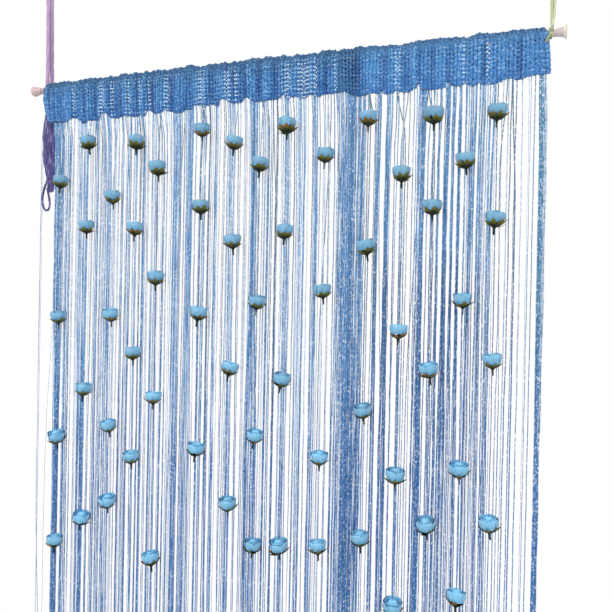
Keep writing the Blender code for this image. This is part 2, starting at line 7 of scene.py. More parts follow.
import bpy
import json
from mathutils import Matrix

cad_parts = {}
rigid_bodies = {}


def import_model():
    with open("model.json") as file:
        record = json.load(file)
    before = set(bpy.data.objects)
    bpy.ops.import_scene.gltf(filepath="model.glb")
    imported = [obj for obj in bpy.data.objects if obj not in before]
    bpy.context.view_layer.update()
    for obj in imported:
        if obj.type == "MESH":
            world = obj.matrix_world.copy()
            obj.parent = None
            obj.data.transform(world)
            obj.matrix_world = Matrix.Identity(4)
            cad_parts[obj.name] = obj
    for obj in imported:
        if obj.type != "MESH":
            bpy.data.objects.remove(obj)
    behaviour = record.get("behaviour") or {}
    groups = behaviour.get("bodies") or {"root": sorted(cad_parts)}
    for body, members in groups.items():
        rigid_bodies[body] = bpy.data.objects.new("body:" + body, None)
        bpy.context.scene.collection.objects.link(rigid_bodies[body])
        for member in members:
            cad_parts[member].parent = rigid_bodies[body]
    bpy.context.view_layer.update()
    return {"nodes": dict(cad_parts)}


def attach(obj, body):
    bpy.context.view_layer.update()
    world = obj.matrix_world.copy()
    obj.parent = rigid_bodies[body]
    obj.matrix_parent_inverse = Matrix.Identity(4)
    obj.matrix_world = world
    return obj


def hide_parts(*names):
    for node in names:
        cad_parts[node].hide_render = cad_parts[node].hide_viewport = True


bl_info = {
    "name": "String curtain",
    "version": (1, 0, 0),
    "blender": (4, 5, 0),
    "location": "View3D > Sidebar > Curtain",
    "description": "Net heading, flat yarn strings, satin rosebuds, rod and yarn ties",
    "category": "Add Mesh",
}

import json
import math
import random
from collections import namedtuple

import bpy
import numpy as np
from bpy.props import FloatProperty, FloatVectorProperty, IntProperty, PointerProperty
from mathutils import Matrix, Vector

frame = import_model()


def table(columns, *rows):
    """Rows of numbers with named columns."""
    row = namedtuple("Row", columns)
    return [row(*values) for values in rows]


# Rod, sleeve and drop, as in the solids
ROD_RADIUS = 0.0040
CAP_INNER = 0.4230
HEADING_HALF = 0.4150
DROP_END = -1.9900

# How far the plain strings reach to each side, how much all strings differ in length,
# and how close a plain string may come to a rose string
STRING_REACH = 0.4112
DROP_SPREAD = 0.006
ROSE_ROOM = 0.0014

# The widest pleat, which nothing shows through, and the height that the cross bars count down from
PLEAT_CENTRE = 0.1395
FIRST_BAR = 0.0057

# The camera's place and angles. The back cloth's openings lie behind the front's from here.
CAMERA_X, CAMERA_Y, CAMERA_Z = 0.380, -0.882, -0.367
CAMERA_YAW, CAMERA_PITCH, CAMERA_ROLL = 18.67, 0.34, -1.15
SENSOR_WIDTH = 36.0

FOLDS = table(
    "centre left right depth lean",
    (-0.394, 0.010, 0.008, 0.0037, 0.2), (-0.360, 0.013, 0.009, 0.0061, 0.4),
    (-0.318, 0.009, 0.010, 0.0034, 0.0), (-0.289, 0.009, 0.013, 0.0068, -0.4),
    (-0.245, 0.011, 0.010, 0.0058, 0.3), (-0.214, 0.009, 0.007, 0.0044, 0.2),
    (-0.172, 0.010, 0.012, 0.0065, -0.3), (-0.140, 0.008, 0.007, 0.0027, 0.0),
    (-0.101, 0.012, 0.013, 0.0071, 0.4), (-0.058, 0.013, 0.009, 0.0068, 0.4),
    (-0.018, 0.009, 0.008, 0.0031, 0.0), (0.012, 0.008, 0.008, 0.0037, -0.2),
    (0.052, 0.014, 0.013, 0.0065, 0.0), (0.084, 0.009, 0.008, 0.0048, 0.3),
    (0.137, 0.014, 0.008, 0.0092, 0.45), (0.178, 0.009, 0.012, 0.0061, -0.3),
    (0.212, 0.009, 0.009, 0.0051, 0.2), (0.243, 0.008, 0.008, 0.0031, 0.0),
    (0.276, 0.011, 0.009, 0.0058, 0.3), (0.303, 0.008, 0.008, 0.0044, -0.2),
    (0.327, 0.008, 0.008, 0.0024, 0.0), (0.357, 0.012, 0.010, 0.0068, 0.3),
    (0.397, 0.010, 0.009, 0.0051, 0.0))
# Places along the rod, with the height of the heading's ridge and then of its hem
RIDGE_LINE = (
    (-0.415, 0.0090), (-0.386, 0.0092), (-0.375, 0.0102), (-0.358, 0.0080), (-0.327, 0.0103),
    (-0.286, 0.0083), (-0.276, 0.0105), (-0.264, 0.0087), (-0.252, 0.0118), (-0.242, 0.0091),
    (-0.230, 0.0109), (-0.216, 0.0092), (-0.186, 0.0108), (-0.170, 0.0090), (-0.157, 0.0106),
    (-0.150, 0.0112), (-0.139, 0.0098), (-0.124, 0.0134), (-0.110, 0.0090), (-0.086, 0.0103),
    (-0.072, 0.0082), (-0.065, 0.0103), (-0.056, 0.0091), (-0.035, 0.0101), (-0.023, 0.0091),
    (-0.011, 0.0117), (0.004, 0.0094), (0.011, 0.0111), (0.027, 0.0097), (0.039, 0.0111),
    (0.052, 0.0081), (0.081, 0.0099), (0.094, 0.0077), (0.101, 0.0104), (0.126, 0.0087),
    (0.131, 0.0114), (0.148, 0.0098), (0.154, 0.0121), (0.169, 0.0075), (0.178, 0.0096),
    (0.186, 0.0075), (0.212, 0.0058), (0.237, 0.0073), (0.241, 0.0090), (0.259, 0.0083),
    (0.280, 0.0078), (0.316, 0.0061), (0.326, 0.0088), (0.338, 0.0080), (0.359, 0.0057),
    (0.380, 0.0076), (0.394, 0.0070), (0.411, 0.0064), (0.415, 0.0044))
HEM_LINE = (
    (-0.415, -0.0570), (-0.385, -0.0590), (-0.370, -0.0607), (-0.360, -0.0600), (-0.353, -0.0540),
    (-0.343, -0.0555), (-0.333, -0.0635), (-0.312, -0.0616), (-0.292, -0.0622), (-0.287, -0.0520),
    (-0.279, -0.0530), (-0.273, -0.0612), (-0.249, -0.0596), (-0.207, -0.0625), (-0.204, -0.0516),
    (-0.199, -0.0530), (-0.189, -0.0593), (-0.172, -0.0607), (-0.167, -0.0562), (-0.138, -0.0635),
    (-0.134, -0.0575), (-0.119, -0.0568), (-0.114, -0.0500), (-0.108, -0.0545), (-0.092, -0.0559),
    (-0.084, -0.0533), (-0.073, -0.0559), (-0.069, -0.0465), (-0.063, -0.0480), (-0.049, -0.0546),
    (-0.032, -0.0546), (-0.028, -0.0465), (-0.020, -0.0480), (-0.010, -0.0548), (0.010, -0.0565),
    (0.033, -0.0535), (0.037, -0.0470), (0.041, -0.0500), (0.048, -0.0583), (0.056, -0.0544),
    (0.074, -0.0574), (0.082, -0.0536), (0.096, -0.0564), (0.103, -0.0530), (0.134, -0.0552),
    (0.140, -0.0575), (0.147, -0.0590), (0.157, -0.0605), (0.189, -0.0600), (0.192, -0.0530),
    (0.195, -0.0615), (0.206, -0.0631), (0.213, -0.0594), (0.227, -0.0625), (0.241, -0.0580),
    (0.245, -0.0515), (0.250, -0.0600), (0.271, -0.0632), (0.283, -0.0616), (0.287, -0.0510),
    (0.293, -0.0590), (0.304, -0.0621), (0.311, -0.0570), (0.320, -0.0630), (0.328, -0.0588),
    (0.340, -0.0625), (0.357, -0.0610), (0.363, -0.0545), (0.376, -0.0579), (0.392, -0.0567),
    (0.415, -0.0536))
# Narrow lines where the cloth is pressed in between folds
VALLEYS = table(
    "centre depth",
    (-0.401, 0.8), (-0.393, 0.6), (-0.377, 0.4), (-0.327, 0.8), (-0.305, 0.5), (-0.275, 0.8),
    (-0.254, 0.7), (-0.243, 0.4), (-0.222, 0.7), (-0.194, 0.5), (-0.177, 0.5), (-0.157, 0.8),
    (-0.129, 0.3), (-0.107, 0.5), (-0.087, 0.6), (-0.076, 0.4), (-0.059, 0.7), (-0.045, 0.7),
    (-0.026, 0.7), (-0.002, 1.0), (0.025, 0.6), (0.041, 0.4), (0.061, 0.5), (0.078, 0.5),
    (0.107, 0.7), (0.128, 0.4), (0.153, 1.0), (0.192, 0.4), (0.198, 0.4), (0.226, 0.5),
    (0.246, 0.9), (0.264, 0.7), (0.288, 0.4), (0.334, 0.7), (0.367, 0.7), (0.383, 0.5), (0.409, 0.4))
# Where the back cloth's openings lie behind the front's, so that light comes through
OPENINGS = table(
    "centre reach",
    (-0.350, 0.0030), (-0.288, 0.0055), (-0.270, 0.0030), (-0.238, 0.0045), (-0.214, 0.0030),
    (-0.200, 0.0040), (-0.165, 0.0045), (-0.103, 0.0080), (-0.056, 0.0060), (-0.041, 0.0040),
    (0.045, 0.0070), (0.073, 0.0125), (0.089, 0.0040), (0.121, 0.0030), (0.214, 0.0050),
    (0.308, 0.0034), (0.340, 0.0030))
# From the ridge (0) to the hem (1): how far front and back stand from the rod's axis, and how
# much of a fold's depth each takes
SLEEVE_STATIONS = (0.0, 0.10, 0.17, 0.35, 0.67, 1.0)
FRONT_BELLY = (0.0018, 0.0062, 0.0066, 0.0052, 0.0036, 0.0010)
FRONT_SHARE = (0.10, 0.38, 0.45, 0.65, 0.90, 1.00)
BACK_BELLY = (0.0018, 0.0062, 0.0062, 0.0030, 0.0016, 0.0008)
BACK_SHARE = (0.10, 0.20, 0.0, -0.45, -0.85, -1.00)
# The ends of the heading aren't plumb: how far they stand along the rod, from ridge to hem
END_REACH = 0.0200
END_STATIONS = (0.0, 0.03, 0.34, 0.66, 1.0)
LEFT_ENDS = (0.0045, 0.0055, 0.0015, 0.0045, 0.0100)
RIGHT_ENDS = (-0.0004, 0.0008, 0.0032, 0.0050, 0.0064)

# Where strings cling together: half the band's width near the heading and lower down
BANDS = table(
    "centre half_width low_half_width strings",
    (-0.3900, 0.0010, 0.0090, 2), (-0.3805, 0.0080, 0.0052, 17), (-0.3635, 0.0020, 0.0018, 4),
    (-0.3300, 0.0075, 0.0050, 13), (-0.3030, 0.0045, 0.0045, 8), (-0.2800, 0.0055, 0.0055, 8),
    (-0.2500, 0.0018, 0.0030, 4), (-0.2390, 0.0018, 0.0018, 3), (-0.2245, 0.0024, 0.0024, 4),
    (-0.2095, 0.0024, 0.0020, 4), (-0.1900, 0.0024, 0.0018, 4), (-0.1450, 0.0068, 0.0062, 16),
    (-0.1220, 0.0056, 0.0075, 14), (-0.0975, 0.0022, 0.0020, 4), (-0.0735, 0.0020, 0.0022, 4),
    (-0.0480, 0.0030, 0.0030, 5), (-0.0080, 0.0044, 0.0105, 15), (0.0125, 0.0026, 0.0026, 4),
    (0.0465, 0.0034, 0.0034, 6), (0.0690, 0.0030, 0.0034, 4), (0.0940, 0.0030, 0.0038, 8),
    (0.1340, 0.0070, 0.0090, 13), (0.1490, 0.0068, 0.0085, 24), (0.1620, 0.0040, 0.0070, 13),
    (0.1885, 0.0020, 0.0032, 5), (0.2025, 0.0028, 0.0050, 8), (0.2515, 0.0046, 0.0065, 13),
    (0.2670, 0.0012, 0.0012, 2), (0.2752, 0.0006, 0.0030, 3), (0.2862, 0.0026, 0.0052, 8),
    (0.2955, 0.0014, 0.0036, 4), (0.3045, 0.0013, 0.0028, 4), (0.3205, 0.0045, 0.0060, 8),
    (0.3335, 0.0038, 0.0050, 7), (0.3460, 0.0026, 0.0026, 4), (0.3975, 0.0003, 0.0004, 1),
    (0.4030, 0.0003, 0.0004, 1), (0.4140, 0.0044, 0.0032, 10))
# Strings that hang aslant below the heading, until they settle
STRAYS = table(
    "top low settles",
    (-0.4125, -0.4182, -0.07), (-0.4125, -0.4198, -0.08), (-0.2450, -0.2370, -0.20),
    (-0.1330, -0.1380, -0.16), (0.0230, 0.0290, -0.22), (0.1150, 0.1030, -0.46),
    (0.1765, 0.1690, -0.12), (0.1775, 0.1850, -0.12), (0.2150, 0.2280, -0.13),
    (0.2310, 0.2220, -0.14), (0.2595, 0.2530, -0.12), (0.2605, 0.2700, -0.12),
    (0.3660, 0.3590, -0.18), (0.3740, 0.3800, -0.24))
# Edges along the rod of the small groups that single strings draw together in
GROUP_EDGES = -0.42 + np.cumsum(np.random.default_rng(41).uniform(0.0055, 0.0115, 110))

ROSE_STRINGS = table(
    "x first second third fourth",
    (-0.367, -0.165, -0.399, -0.608, -0.789), (-0.312, -0.101, -0.244, -0.521, -0.742),
    (-0.260, -0.195, -0.393, -0.580, -0.707), (-0.215, -0.107, -0.249, -0.455, -0.628),
    (-0.174, -0.151, -0.330, -0.526, -0.790), (-0.094, -0.094, -0.217, -0.386, -0.603),
    (-0.037, -0.119, -0.272, -0.471, -0.684), (0.007, -0.155, -0.366, -0.574, -0.743),
    (0.050, -0.099, -0.259, -0.484, -0.738), (0.112, -0.146, -0.348, -0.597, -0.729),
    (0.176, -0.097, -0.283, -0.522, -0.708), (0.226, -0.180, -0.404, -0.611, -0.799),
    (0.270, -0.100, -0.228, -0.457, -0.676), (0.314, -0.166, -0.358, -0.593, -0.770),
    (0.355, -0.102, -0.247, -0.440, -0.663))
PATTERN_REPEAT = 0.8300
LAST_ROSE = -1.9500
ROSE_DEPTH = -0.0130
# Petals, from the outer whorl inwards
WHORLS = table(
    "count foot belly lip base tip half_angle columns rows",
    (5, 0.0108, 0.0150, 0.0126, -0.0064, 0.0086, 0.86, 6, 6),
    (4, 0.0075, 0.0125, 0.0100, -0.0050, 0.0096, 0.98, 6, 5),
    (3, 0.0045, 0.0085, 0.0052, -0.0020, 0.0099, 1.25, 5, 4))
LEAVES = 8
# Heights and radii of the cup and the stem
CUP_RINGS = ((-0.0074, 0.0104), (-0.0096, 0.0078), (-0.0114, 0.0052), (-0.0130, 0.0030),
             (-0.0142, 0.0020), (-0.0152, 0.0016), (-0.0180, 0.0014), (-0.0226, 0.0013),
             (-0.0231, 0.0004))

# Yarn ties: place, radius and width or pitch of the turns round the rod, then the yarns' routes
LEFT_WRAP_X, LEFT_WRAP_RADIUS, LEFT_WRAP_WIDTH = -0.4165, 0.0056, 0.0040
RIGHT_WRAP_X, RIGHT_WRAP_RADIUS, RIGHT_WRAP_PITCH = 0.4202, 0.0068, 0.0022
LEFT_TIE_ROUTE = (
    (-0.4170, 0.0070, 0.0045), (-0.4168, 0.0071, 0.0500), (-0.4175, 0.0072, 0.1100),
    (-0.4184, 0.0072, 0.1680), (-0.4230, 0.0073, 0.1800), (-0.4285, 0.0077, 0.1910),
    (-0.4284, 0.0084, 0.2005), (-0.4236, 0.0092, 0.2078), (-0.4168, 0.0100, 0.2104),
    (-0.4100, 0.0108, 0.2078), (-0.4052, 0.0116, 0.2005), (-0.4051, 0.0123, 0.1910),
    (-0.4104, 0.0127, 0.1800), (-0.4150, 0.0128, 0.1680), (-0.4141, 0.0128, 0.1100),
    (-0.4129, 0.0128, 0.0500), (-0.4116, 0.0130, 0.0100), (-0.4134, 0.0166, -0.0125),
    (-0.4140, 0.0178, -0.0218))
RIGHT_TIE_ROUTE = (
    (0.4220, -0.0010, 0.0071), (0.4211, -0.0010, 0.0300), (0.4207, -0.0010, 0.0560),
    (0.4180, -0.0009, 0.0680), (0.4148, -0.0007, 0.0775), (0.4152, -0.0004, 0.0852),
    (0.4184, -0.0001, 0.0905), (0.4226, 0.0001, 0.0924), (0.4268, 0.0003, 0.0905),
    (0.4300, 0.0006, 0.0852), (0.4304, 0.0009, 0.0775), (0.4272, 0.0011, 0.0680),
    (0.4247, 0.0012, 0.0560), (0.4246, 0.0012, 0.0300), (0.4248, 0.0012, 0.0071))
TAIL_ROUTE = ((0.4150, -0.0114, -0.0150), (0.4162, -0.0112, -0.0115), (0.4170, -0.0106, -0.0090),
              (0.4186, -0.0098, -0.0070))
TAIL_END = (0.4196, -0.0092, -0.0055)
KNOT_CENTRE = (0.4213, -0.0085, -0.0050)

# The spare yarn's hank: height, place, half width and half depth of the bundle, the room that
# half a yarn takes of these, and where each turn lies across it and ends
HANK_DEPTH = 0.0178
HANK_YARN = 0.0018
HANK_RINGS = (
    (-0.0225, -0.4140, 0.0036, 0.0034), (-0.0420, -0.4170, 0.0138, 0.0050),
    (-0.0700, -0.4196, 0.0156, 0.0055), (-0.0850, -0.4184, 0.0142, 0.0055),
    (-0.1050, -0.4192, 0.0150, 0.0055), (-0.1260, -0.4182, 0.0130, 0.0052),
    (-0.1420, -0.4172, 0.0100, 0.0046), (-0.1560, -0.4160, 0.0058, 0.0040),
    (-0.1710, -0.4140, 0.0064, 0.0038), (-0.1800, -0.4120, 0.0040, 0.0030))
HANK_TURNS = table(
    "right left depth top bottom",
    (1.00, 0.95, -0.30, -0.0290, -0.1775), (0.50, 0.42, -1.00, -0.0330, -0.1740),
    (0.10, 0.90, 0.40, -0.0310, -0.1770), (0.30, 0.15, -0.85, -0.0320, -0.1750),
    (0.92, -0.05, -0.75, -0.0320, -0.1735), (-0.25, 1.00, 0.85, -0.0360, -0.1765),
    (0.72, 0.65, -0.55, -0.0300, -0.1720), (0.60, 0.30, 0.20, -0.0330, -0.1760),
    (0.98, -0.30, 0.75, -0.0340, -0.1750))
HANK_STATIONS = (-0.0480, -0.0620, -0.0780, -0.0940, -0.1100, -0.1260, -0.1400, -0.1510, -0.1600)
HANK_TAIL_ROUTE = (
    (-0.4235, 0.0190, -0.0420), (-0.4190, 0.0198, -0.0345), (-0.4130, 0.0196, -0.0360),
    (-0.4100, 0.0190, -0.0480), (-0.4120, 0.0186, -0.0800), (-0.4150, 0.0184, -0.1100),
    (-0.4190, 0.0182, -0.1380))
SPARE_LOOP_ROUTE = (
    (-0.4240, 0.0178, -0.1560), (-0.4276, 0.0178, -0.1650), (-0.4315, 0.0178, -0.1760),
    (-0.4335, 0.0178, -0.1880), (-0.4322, 0.0178, -0.2000), (-0.4280, 0.0178, -0.2085),
    (-0.4228, 0.0178, -0.2106), (-0.4184, 0.0178, -0.2070), (-0.4168, 0.0178, -0.1990),
    (-0.4178, 0.0178, -0.1900), (-0.4206, 0.0178, -0.1790), (-0.4231, 0.0178, -0.1690))

# End caps, as places along the cap and radii, from the narrow end outwards
LEFT_CAP = (
    (0.0060, 0.0041), (0.0002, 0.0041), (0.0000, 0.0047), (0.0004, 0.0052), (0.0025, 0.0053),
    (0.0030, 0.0057), (0.0036, 0.0062), (0.0060, 0.0067), (0.0090, 0.0073), (0.0120, 0.0079),
    (0.0145, 0.0084), (0.0155, 0.0085), (0.0163, 0.0084), (0.0170, 0.0080), (0.0175, 0.0073),
    (0.0174, 0.0060), (0.0168, 0.0040), (0.0166, 0.0001))
RIGHT_CAP = (
    (0.0060, 0.0041), (0.0002, 0.0041), (0.0000, 0.0045), (0.0004, 0.0048), (0.0030, 0.0050),
    (0.0060, 0.0053), (0.0085, 0.0057), (0.0110, 0.0062), (0.0125, 0.0066), (0.0140, 0.0070),
    (0.0150, 0.0074), (0.0153, 0.0086), (0.0156, 0.0091), (0.0164, 0.0093), (0.0171, 0.0092),
    (0.0175, 0.0086), (0.0173, 0.0072), (0.0168, 0.0045), (0.0167, 0.0001))


# Settings that a user may change

def length_setting(name, default, low, high, description):
    return FloatProperty(name=name, description=description, default=default, min=low, max=high,
                         unit="LENGTH")


def colour_setting(name, default, description):
    return FloatVectorProperty(name=name, description=description, default=default, size=3,
                               subtype="COLOR", min=0.0, max=1.0)


class HeadingSettings(bpy.types.PropertyGroup):
    column_pitch: length_setting("Column spacing", 0.0056, 0.003, 0.02,
                                 "Distance between the net's chains, along the cloth")
    row_pitch: length_setting("Row spacing", 0.0061, 0.003, 0.02,
                              "Distance between the net's cross bars")
    chain_width: length_setting("Chain width", 0.0036, 0.0005, 0.01,
                                "Width of one upright chain of stitches")
    bar_height: length_setting("Bar height", 0.0037, 0.0005, 0.01, "Height of one cross bar")
    # deep: painted shade, the yarn's colour where the folds and the lines between them lie in shade;
    # also used a little darker for random specks
    deep: colour_setting("Fold colour", (0.007, 0.066, 0.250), "Colour of the yarn deep in the folds")
    middle: colour_setting("Yarn colour", (0.031, 0.175, 0.445), "Main colour of the net")
    # light: painted highlight, the colour of the palest fibres' glints
    light: colour_setting("Highlight colour", (0.290, 0.600, 0.920), "Colour of the palest fibres")


class StringSettings(bpy.types.PropertyGroup):
    count: IntProperty(
        name="Strings", description="Number of plain strings", default=410, min=20, max=600)
    width: length_setting("String width", 0.00150, 0.0003, 0.004, "Width of the flat yarn")
    pale: colour_setting("Upper colour", (0.118, 0.345, 0.665),
                         "Colour of the strings near the heading")
    deep: colour_setting("Lower colour", (0.064, 0.258, 0.590), "Colour of the strings further down")
    # glint: the metallic thread's silver colour, used as painted glints along the strings
    glint: colour_setting("Glint colour", (0.880, 0.930, 0.980),
                          "Colour of the metallic thread in the yarn")


class RoseSettings(bpy.types.PropertyGroup):
    size: FloatProperty(
        name="Size", description="Size of the rosebuds against the real ones",
        default=1.0, min=0.5, max=1.5, subtype="FACTOR")
    petal: colour_setting("Petal colour", (0.125, 0.395, 0.650), "Main colour of the satin")
    # Painted light on the petals' upper parts; the lower parts take a painted shade
    petal_tip_painted_light: colour_setting("Petal tip colour", (0.250, 0.520, 0.740),
                                "Colour of the petals' upper parts")
    leaf: colour_setting("Leaf colour", (0.165, 0.158, 0.020),
                         "Colour of the small leaves under the petals")
    leaf_tip: colour_setting("Leaf tip colour", (0.230, 0.084, 0.012), "Colour of the leaves' tips")
    stem: colour_setting("Stem colour", (0.012, 0.020, 0.010), "Colour of the cup and the stem")


class TieSettings(bpy.types.PropertyGroup):
    left_yarn: length_setting("Purple yarn", 0.0062, 0.001, 0.01, "Diameter of the left tie's yarn")
    right_yarn: length_setting("Green yarn", 0.0038, 0.001, 0.01, "Diameter of the right tie's yarn")
    spare_yarn: length_setting("Spare yarn", 0.0036, 0.001, 0.01, "Diameter of the yarn in the hank")
    spare: colour_setting("Violet", (0.125, 0.105, 0.340), "Main colour of the spare yarn's hank")
    purple: colour_setting("Lilac", (0.480, 0.330, 0.520), "Main colour of the left tie")
    green: colour_setting("Green", (0.620, 0.680, 0.420), "Main colour of the right tie")


class RodSettings(bpy.types.PropertyGroup):
    rod: colour_setting("Rod colour", (0.430, 0.350, 0.360), "Colour of the painted rod")
    cap: colour_setting("Cap colour", (0.520, 0.365, 0.360), "Colour of the left end cap")


class StageSettings(bpy.types.PropertyGroup):
    room: FloatProperty(
        name="Room light", description="Strength of the even white light",
        default=1.0, min=0.0, max=5.0, subtype="FACTOR")
    key: FloatProperty(
        name="Key light", description="Power of the large soft light in front",
        default=26.0, min=0.0, max=500.0, unit="POWER")
    floor: colour_setting("Floor colour", (0.800, 0.800, 0.800), "Colour of the plain floor")


# Meshes

class Surface:
    """Collects points, faces and values at points, and makes one mesh of them."""

    def __init__(self):
        self.points = []
        self.faces = []
        self.values = []
        self.total = 0

    def add(self, points, faces, **values):
        points = np.asarray(points, float).reshape(-1, 3)
        self.points.append(points)
        for face in faces:
            self.faces.extend((np.asarray(face) + self.total).tolist())
        self.values.append({k: np.broadcast_to(v, len(points)) for k, v in values.items()})
        self.total += len(points)

    def make(self, name, finish):
        mesh = bpy.data.meshes.new(name)
        mesh.from_pydata(np.concatenate(self.points).tolist(), [], self.faces)
        for key in self.values[0]:
            attribute = mesh.attributes.new(key, "FLOAT", "POINT")
            data = np.concatenate([v[key] for v in self.values]).astype(np.float32)
            attribute.data.foreach_set("value", data)
        mesh.shade_smooth()
        mesh.materials.append(finish)
        piece = bpy.data.objects.new(name, mesh)
        bpy.context.scene.collection.objects.link(piece)
        return piece


def unit(vectors):
    return vectors / np.maximum(np.linalg.norm(vectors, axis=-1, keepdims=True), 1e-12)


def around(sides):
    """Each side's share of the way round a yarn."""
    return np.arange(sides)[None, None] / sides


def wall_faces(rings):
    """Quads between following rings of point numbers, whose last axis goes round a tube."""
    turned = np.roll(rings, -1, axis=-1)
    return np.stack([rings[..., :-1, :], turned[..., :-1, :], turned[..., 1:, :],
                     rings[..., 1:, :]], axis=-1)


def grid_faces(columns, rows):
    """Quads between (rows + 1) x (columns + 1) points."""
    index = np.arange((rows + 1) * (columns + 1)).reshape(rows + 1, columns + 1)
    return np.stack([index[:-1, :-1], index[:-1, 1:], index[1:, 1:], index[1:, :-1]],
                    axis=-1).reshape(-1, 4)


def sweep(surface, paths, across, through, half_width, half_depth, sides, **values):
    """Tubes of an oval section. paths, across and through are (tubes, rings, 3)."""
    tubes, rings = paths.shape[:2]
    angle = np.arange(sides) * math.tau / sides
    wide = np.broadcast_to(half_width, (tubes, rings))[..., None, None]
    deep = np.broadcast_to(half_depth, (tubes, rings))[..., None, None]
    points = (paths[:, :, None] + across[:, :, None] * wide * np.cos(angle)[:, None]
              + through[:, :, None] * deep * np.sin(angle)[:, None])
    index = np.arange(tubes * rings * sides).reshape(tubes, rings, sides)
    walls = wall_faces(index)
    ends = [index[:, 0, ::-1], index[:, -1]]
    facing = np.einsum("ij,ij->i", np.cross(across[:, 0], through[:, 0]),
                       paths[:, 1] - paths[:, 0])
    walls[facing < 0] = walls[facing < 0][..., ::-1]
    ends = [np.where((facing < 0)[:, None], end[:, ::-1], end) for end in ends]
    spread = {}
    for key, value in {**values, "around": around(sides)}.items():
        value = np.asarray(value, float)
        value = value.reshape(value.shape + (1,) * (3 - value.ndim))
        spread[key] = np.broadcast_to(value, (tubes, rings, sides)).reshape(-1)
    surface.add(points, [walls.reshape(-1, 4)] + ends, **spread)


def flat_yarns(surface, paths, turn, half_width, half_depth, **values):
    """Hanging flat yarns, each ring turned by its own angle from facing the front."""
    across = np.broadcast_to((1.0, 0.0, 0.0), paths.shape)
    through = np.broadcast_to((0.0, -1.0, 0.0), paths.shape)
    cos, sin = np.cos(turn)[..., None], np.sin(turn)[..., None]
    sweep(surface, paths, across * cos + through * sin, through * cos - across * sin,
          half_width, half_depth, 4, **values)


def smooth_route(route, spacing):
    """Evenly spaced points on a smooth curve through the route's own points."""
    anchors = np.asarray(route, float)
    padded = np.vstack([2 * anchors[0] - anchors[1], anchors, 2 * anchors[-1] - anchors[-2]])
    t = np.arange(40)[:, None] / 40
    fine = []
    for before, start, stop, after in zip(padded, padded[1:], padded[2:], padded[3:]):
        fine.append(0.5 * (2 * start + (stop - before) * t
                           + (2 * before - 5 * start + 4 * stop - after) * t ** 2
                           + (3 * start - before - 3 * stop + after) * t ** 3))
    fine = np.vstack(fine + [anchors[-1:]])
    reached = run_along(fine)
    wanted = np.linspace(0, reached[-1], max(4, round(reached[-1] / spacing)) + 1)
    return np.stack([np.interp(wanted, reached, fine[:, k]) for k in range(3)], axis=1)


def run_along(path):
    """The length of a path up to each of its points."""
    return np.concatenate([[0], np.cumsum(np.linalg.norm(np.diff(path, axis=0), axis=1))])


def route_length(path):
    return float(np.linalg.norm(np.diff(path, axis=0), axis=1).sum())


def carried_frame(path):
    """Two directions across a path at each point, carried along it without twist."""
    along = unit(np.gradient(path, axis=0))
    first = np.cross(along[0], (0.31, 0.82, 0.48))
    across = [first / np.linalg.norm(first)]
    for direction in along[1:]:
        moved = across[-1] - direction * (across[-1] @ direction)
        across.append(moved / np.linalg.norm(moved))
    across = np.array(across)
    return across, np.cross(along, across)


# Finishes

class Finish:
    """A material whose nodes are added one call at a time, painted layer over layer."""

    def __init__(self, name, **sockets):
        self.material = bpy.data.materials.new(name)
        self.material.use_nodes = True
        self.tree = self.material.node_tree
        self.shader = self.tree.nodes["Principled BSDF"]
        for key, value in sockets.items():
            self.shader.inputs[key.replace("_", " ")].default_value = value
        self.place = self.node("ShaderNodeTexCoord", "Object")
        self.body = None

    def node(self, kind, output=0, inputs=(), **options):
        made = self.tree.nodes.new(kind)
        for key, value in options.items():
            setattr(made, key, value)
        for key, value in dict(inputs).items():
            if isinstance(value, bpy.types.NodeSocket):
                self.tree.links.new(value, made.inputs[key])
            else:
                made.inputs[key].default_value = value
        return made.outputs[output]

    def value(self, name):
        return self.node("ShaderNodeAttribute", "Fac", attribute_name=name)

    def axis(self, name):
        return self.node("ShaderNodeSeparateXYZ", name, inputs={"Vector": self.place})

    def point(self, **axes):
        return self.node("ShaderNodeCombineXYZ", inputs=axes)

    def math(self, operation, *values):
        return self.node("ShaderNodeMath", inputs=enumerate(values), operation=operation)

    def times(self, first, second):
        return self.math("MULTIPLY", first, second)

    def times_plus(self, value, factor, added):
        return self.math("MULTIPLY_ADD", value, factor, added)

    def off(self, value, centre):
        """How far a value lies from a centre, to either side."""
        return self.math("ABSOLUTE", self.math("SUBTRACT", value, centre))

    def stretch(self, scale):
        return self.node("ShaderNodeMapping", inputs={"Vector": self.place, "Scale": scale})

    def noise(self, scale, detail=2.0, vector=None):
        return self.node("ShaderNodeTexNoise", "Fac", inputs={
            "Vector": vector or self.place, "Scale": scale, "Detail": detail})

    def span(self, value, low, high, to_low=0.0, to_high=1.0):
        return self.node("ShaderNodeMapRange", inputs={
            "Value": value, "From Min": low, "From Max": high, "To Min": to_low,
            "To Max": to_high})

    def mix(self, share, first, second):
        first, second = (c if isinstance(c, bpy.types.NodeSocket) else (*c, 1.0)
                         for c in (first, second))
        return self.node("ShaderNodeMix", 2, inputs={0: share, 6: first, 7: second},
                         data_type="RGBA")

    def start(self, share, first, second):
        self.body = self.mix(share, first, second)

    def paint(self, colour, share, *span):
        """Paints a colour over the body by a share, or by where a value lies in a span."""
        if span:
            share = self.span(share, *span)
        self.body = self.mix(share, self.body, colour)

    def link(self, output, socket):
        self.tree.links.new(output, self.shader.inputs[socket])

    def done(self, roughness, height, distance, strength):
        """Links the painted body, the roughness and a bump, and returns the material."""
        self.link(self.body, "Base Color")
        if roughness:
            self.link(roughness, "Roughness")
        self.link(self.node("ShaderNodeBump", inputs={
            "Height": height, "Distance": distance, "Strength": strength}), "Normal")
        return self.material


def tinted(colour, factor):
    return tuple(min(1.0, c * factor) for c in colour)


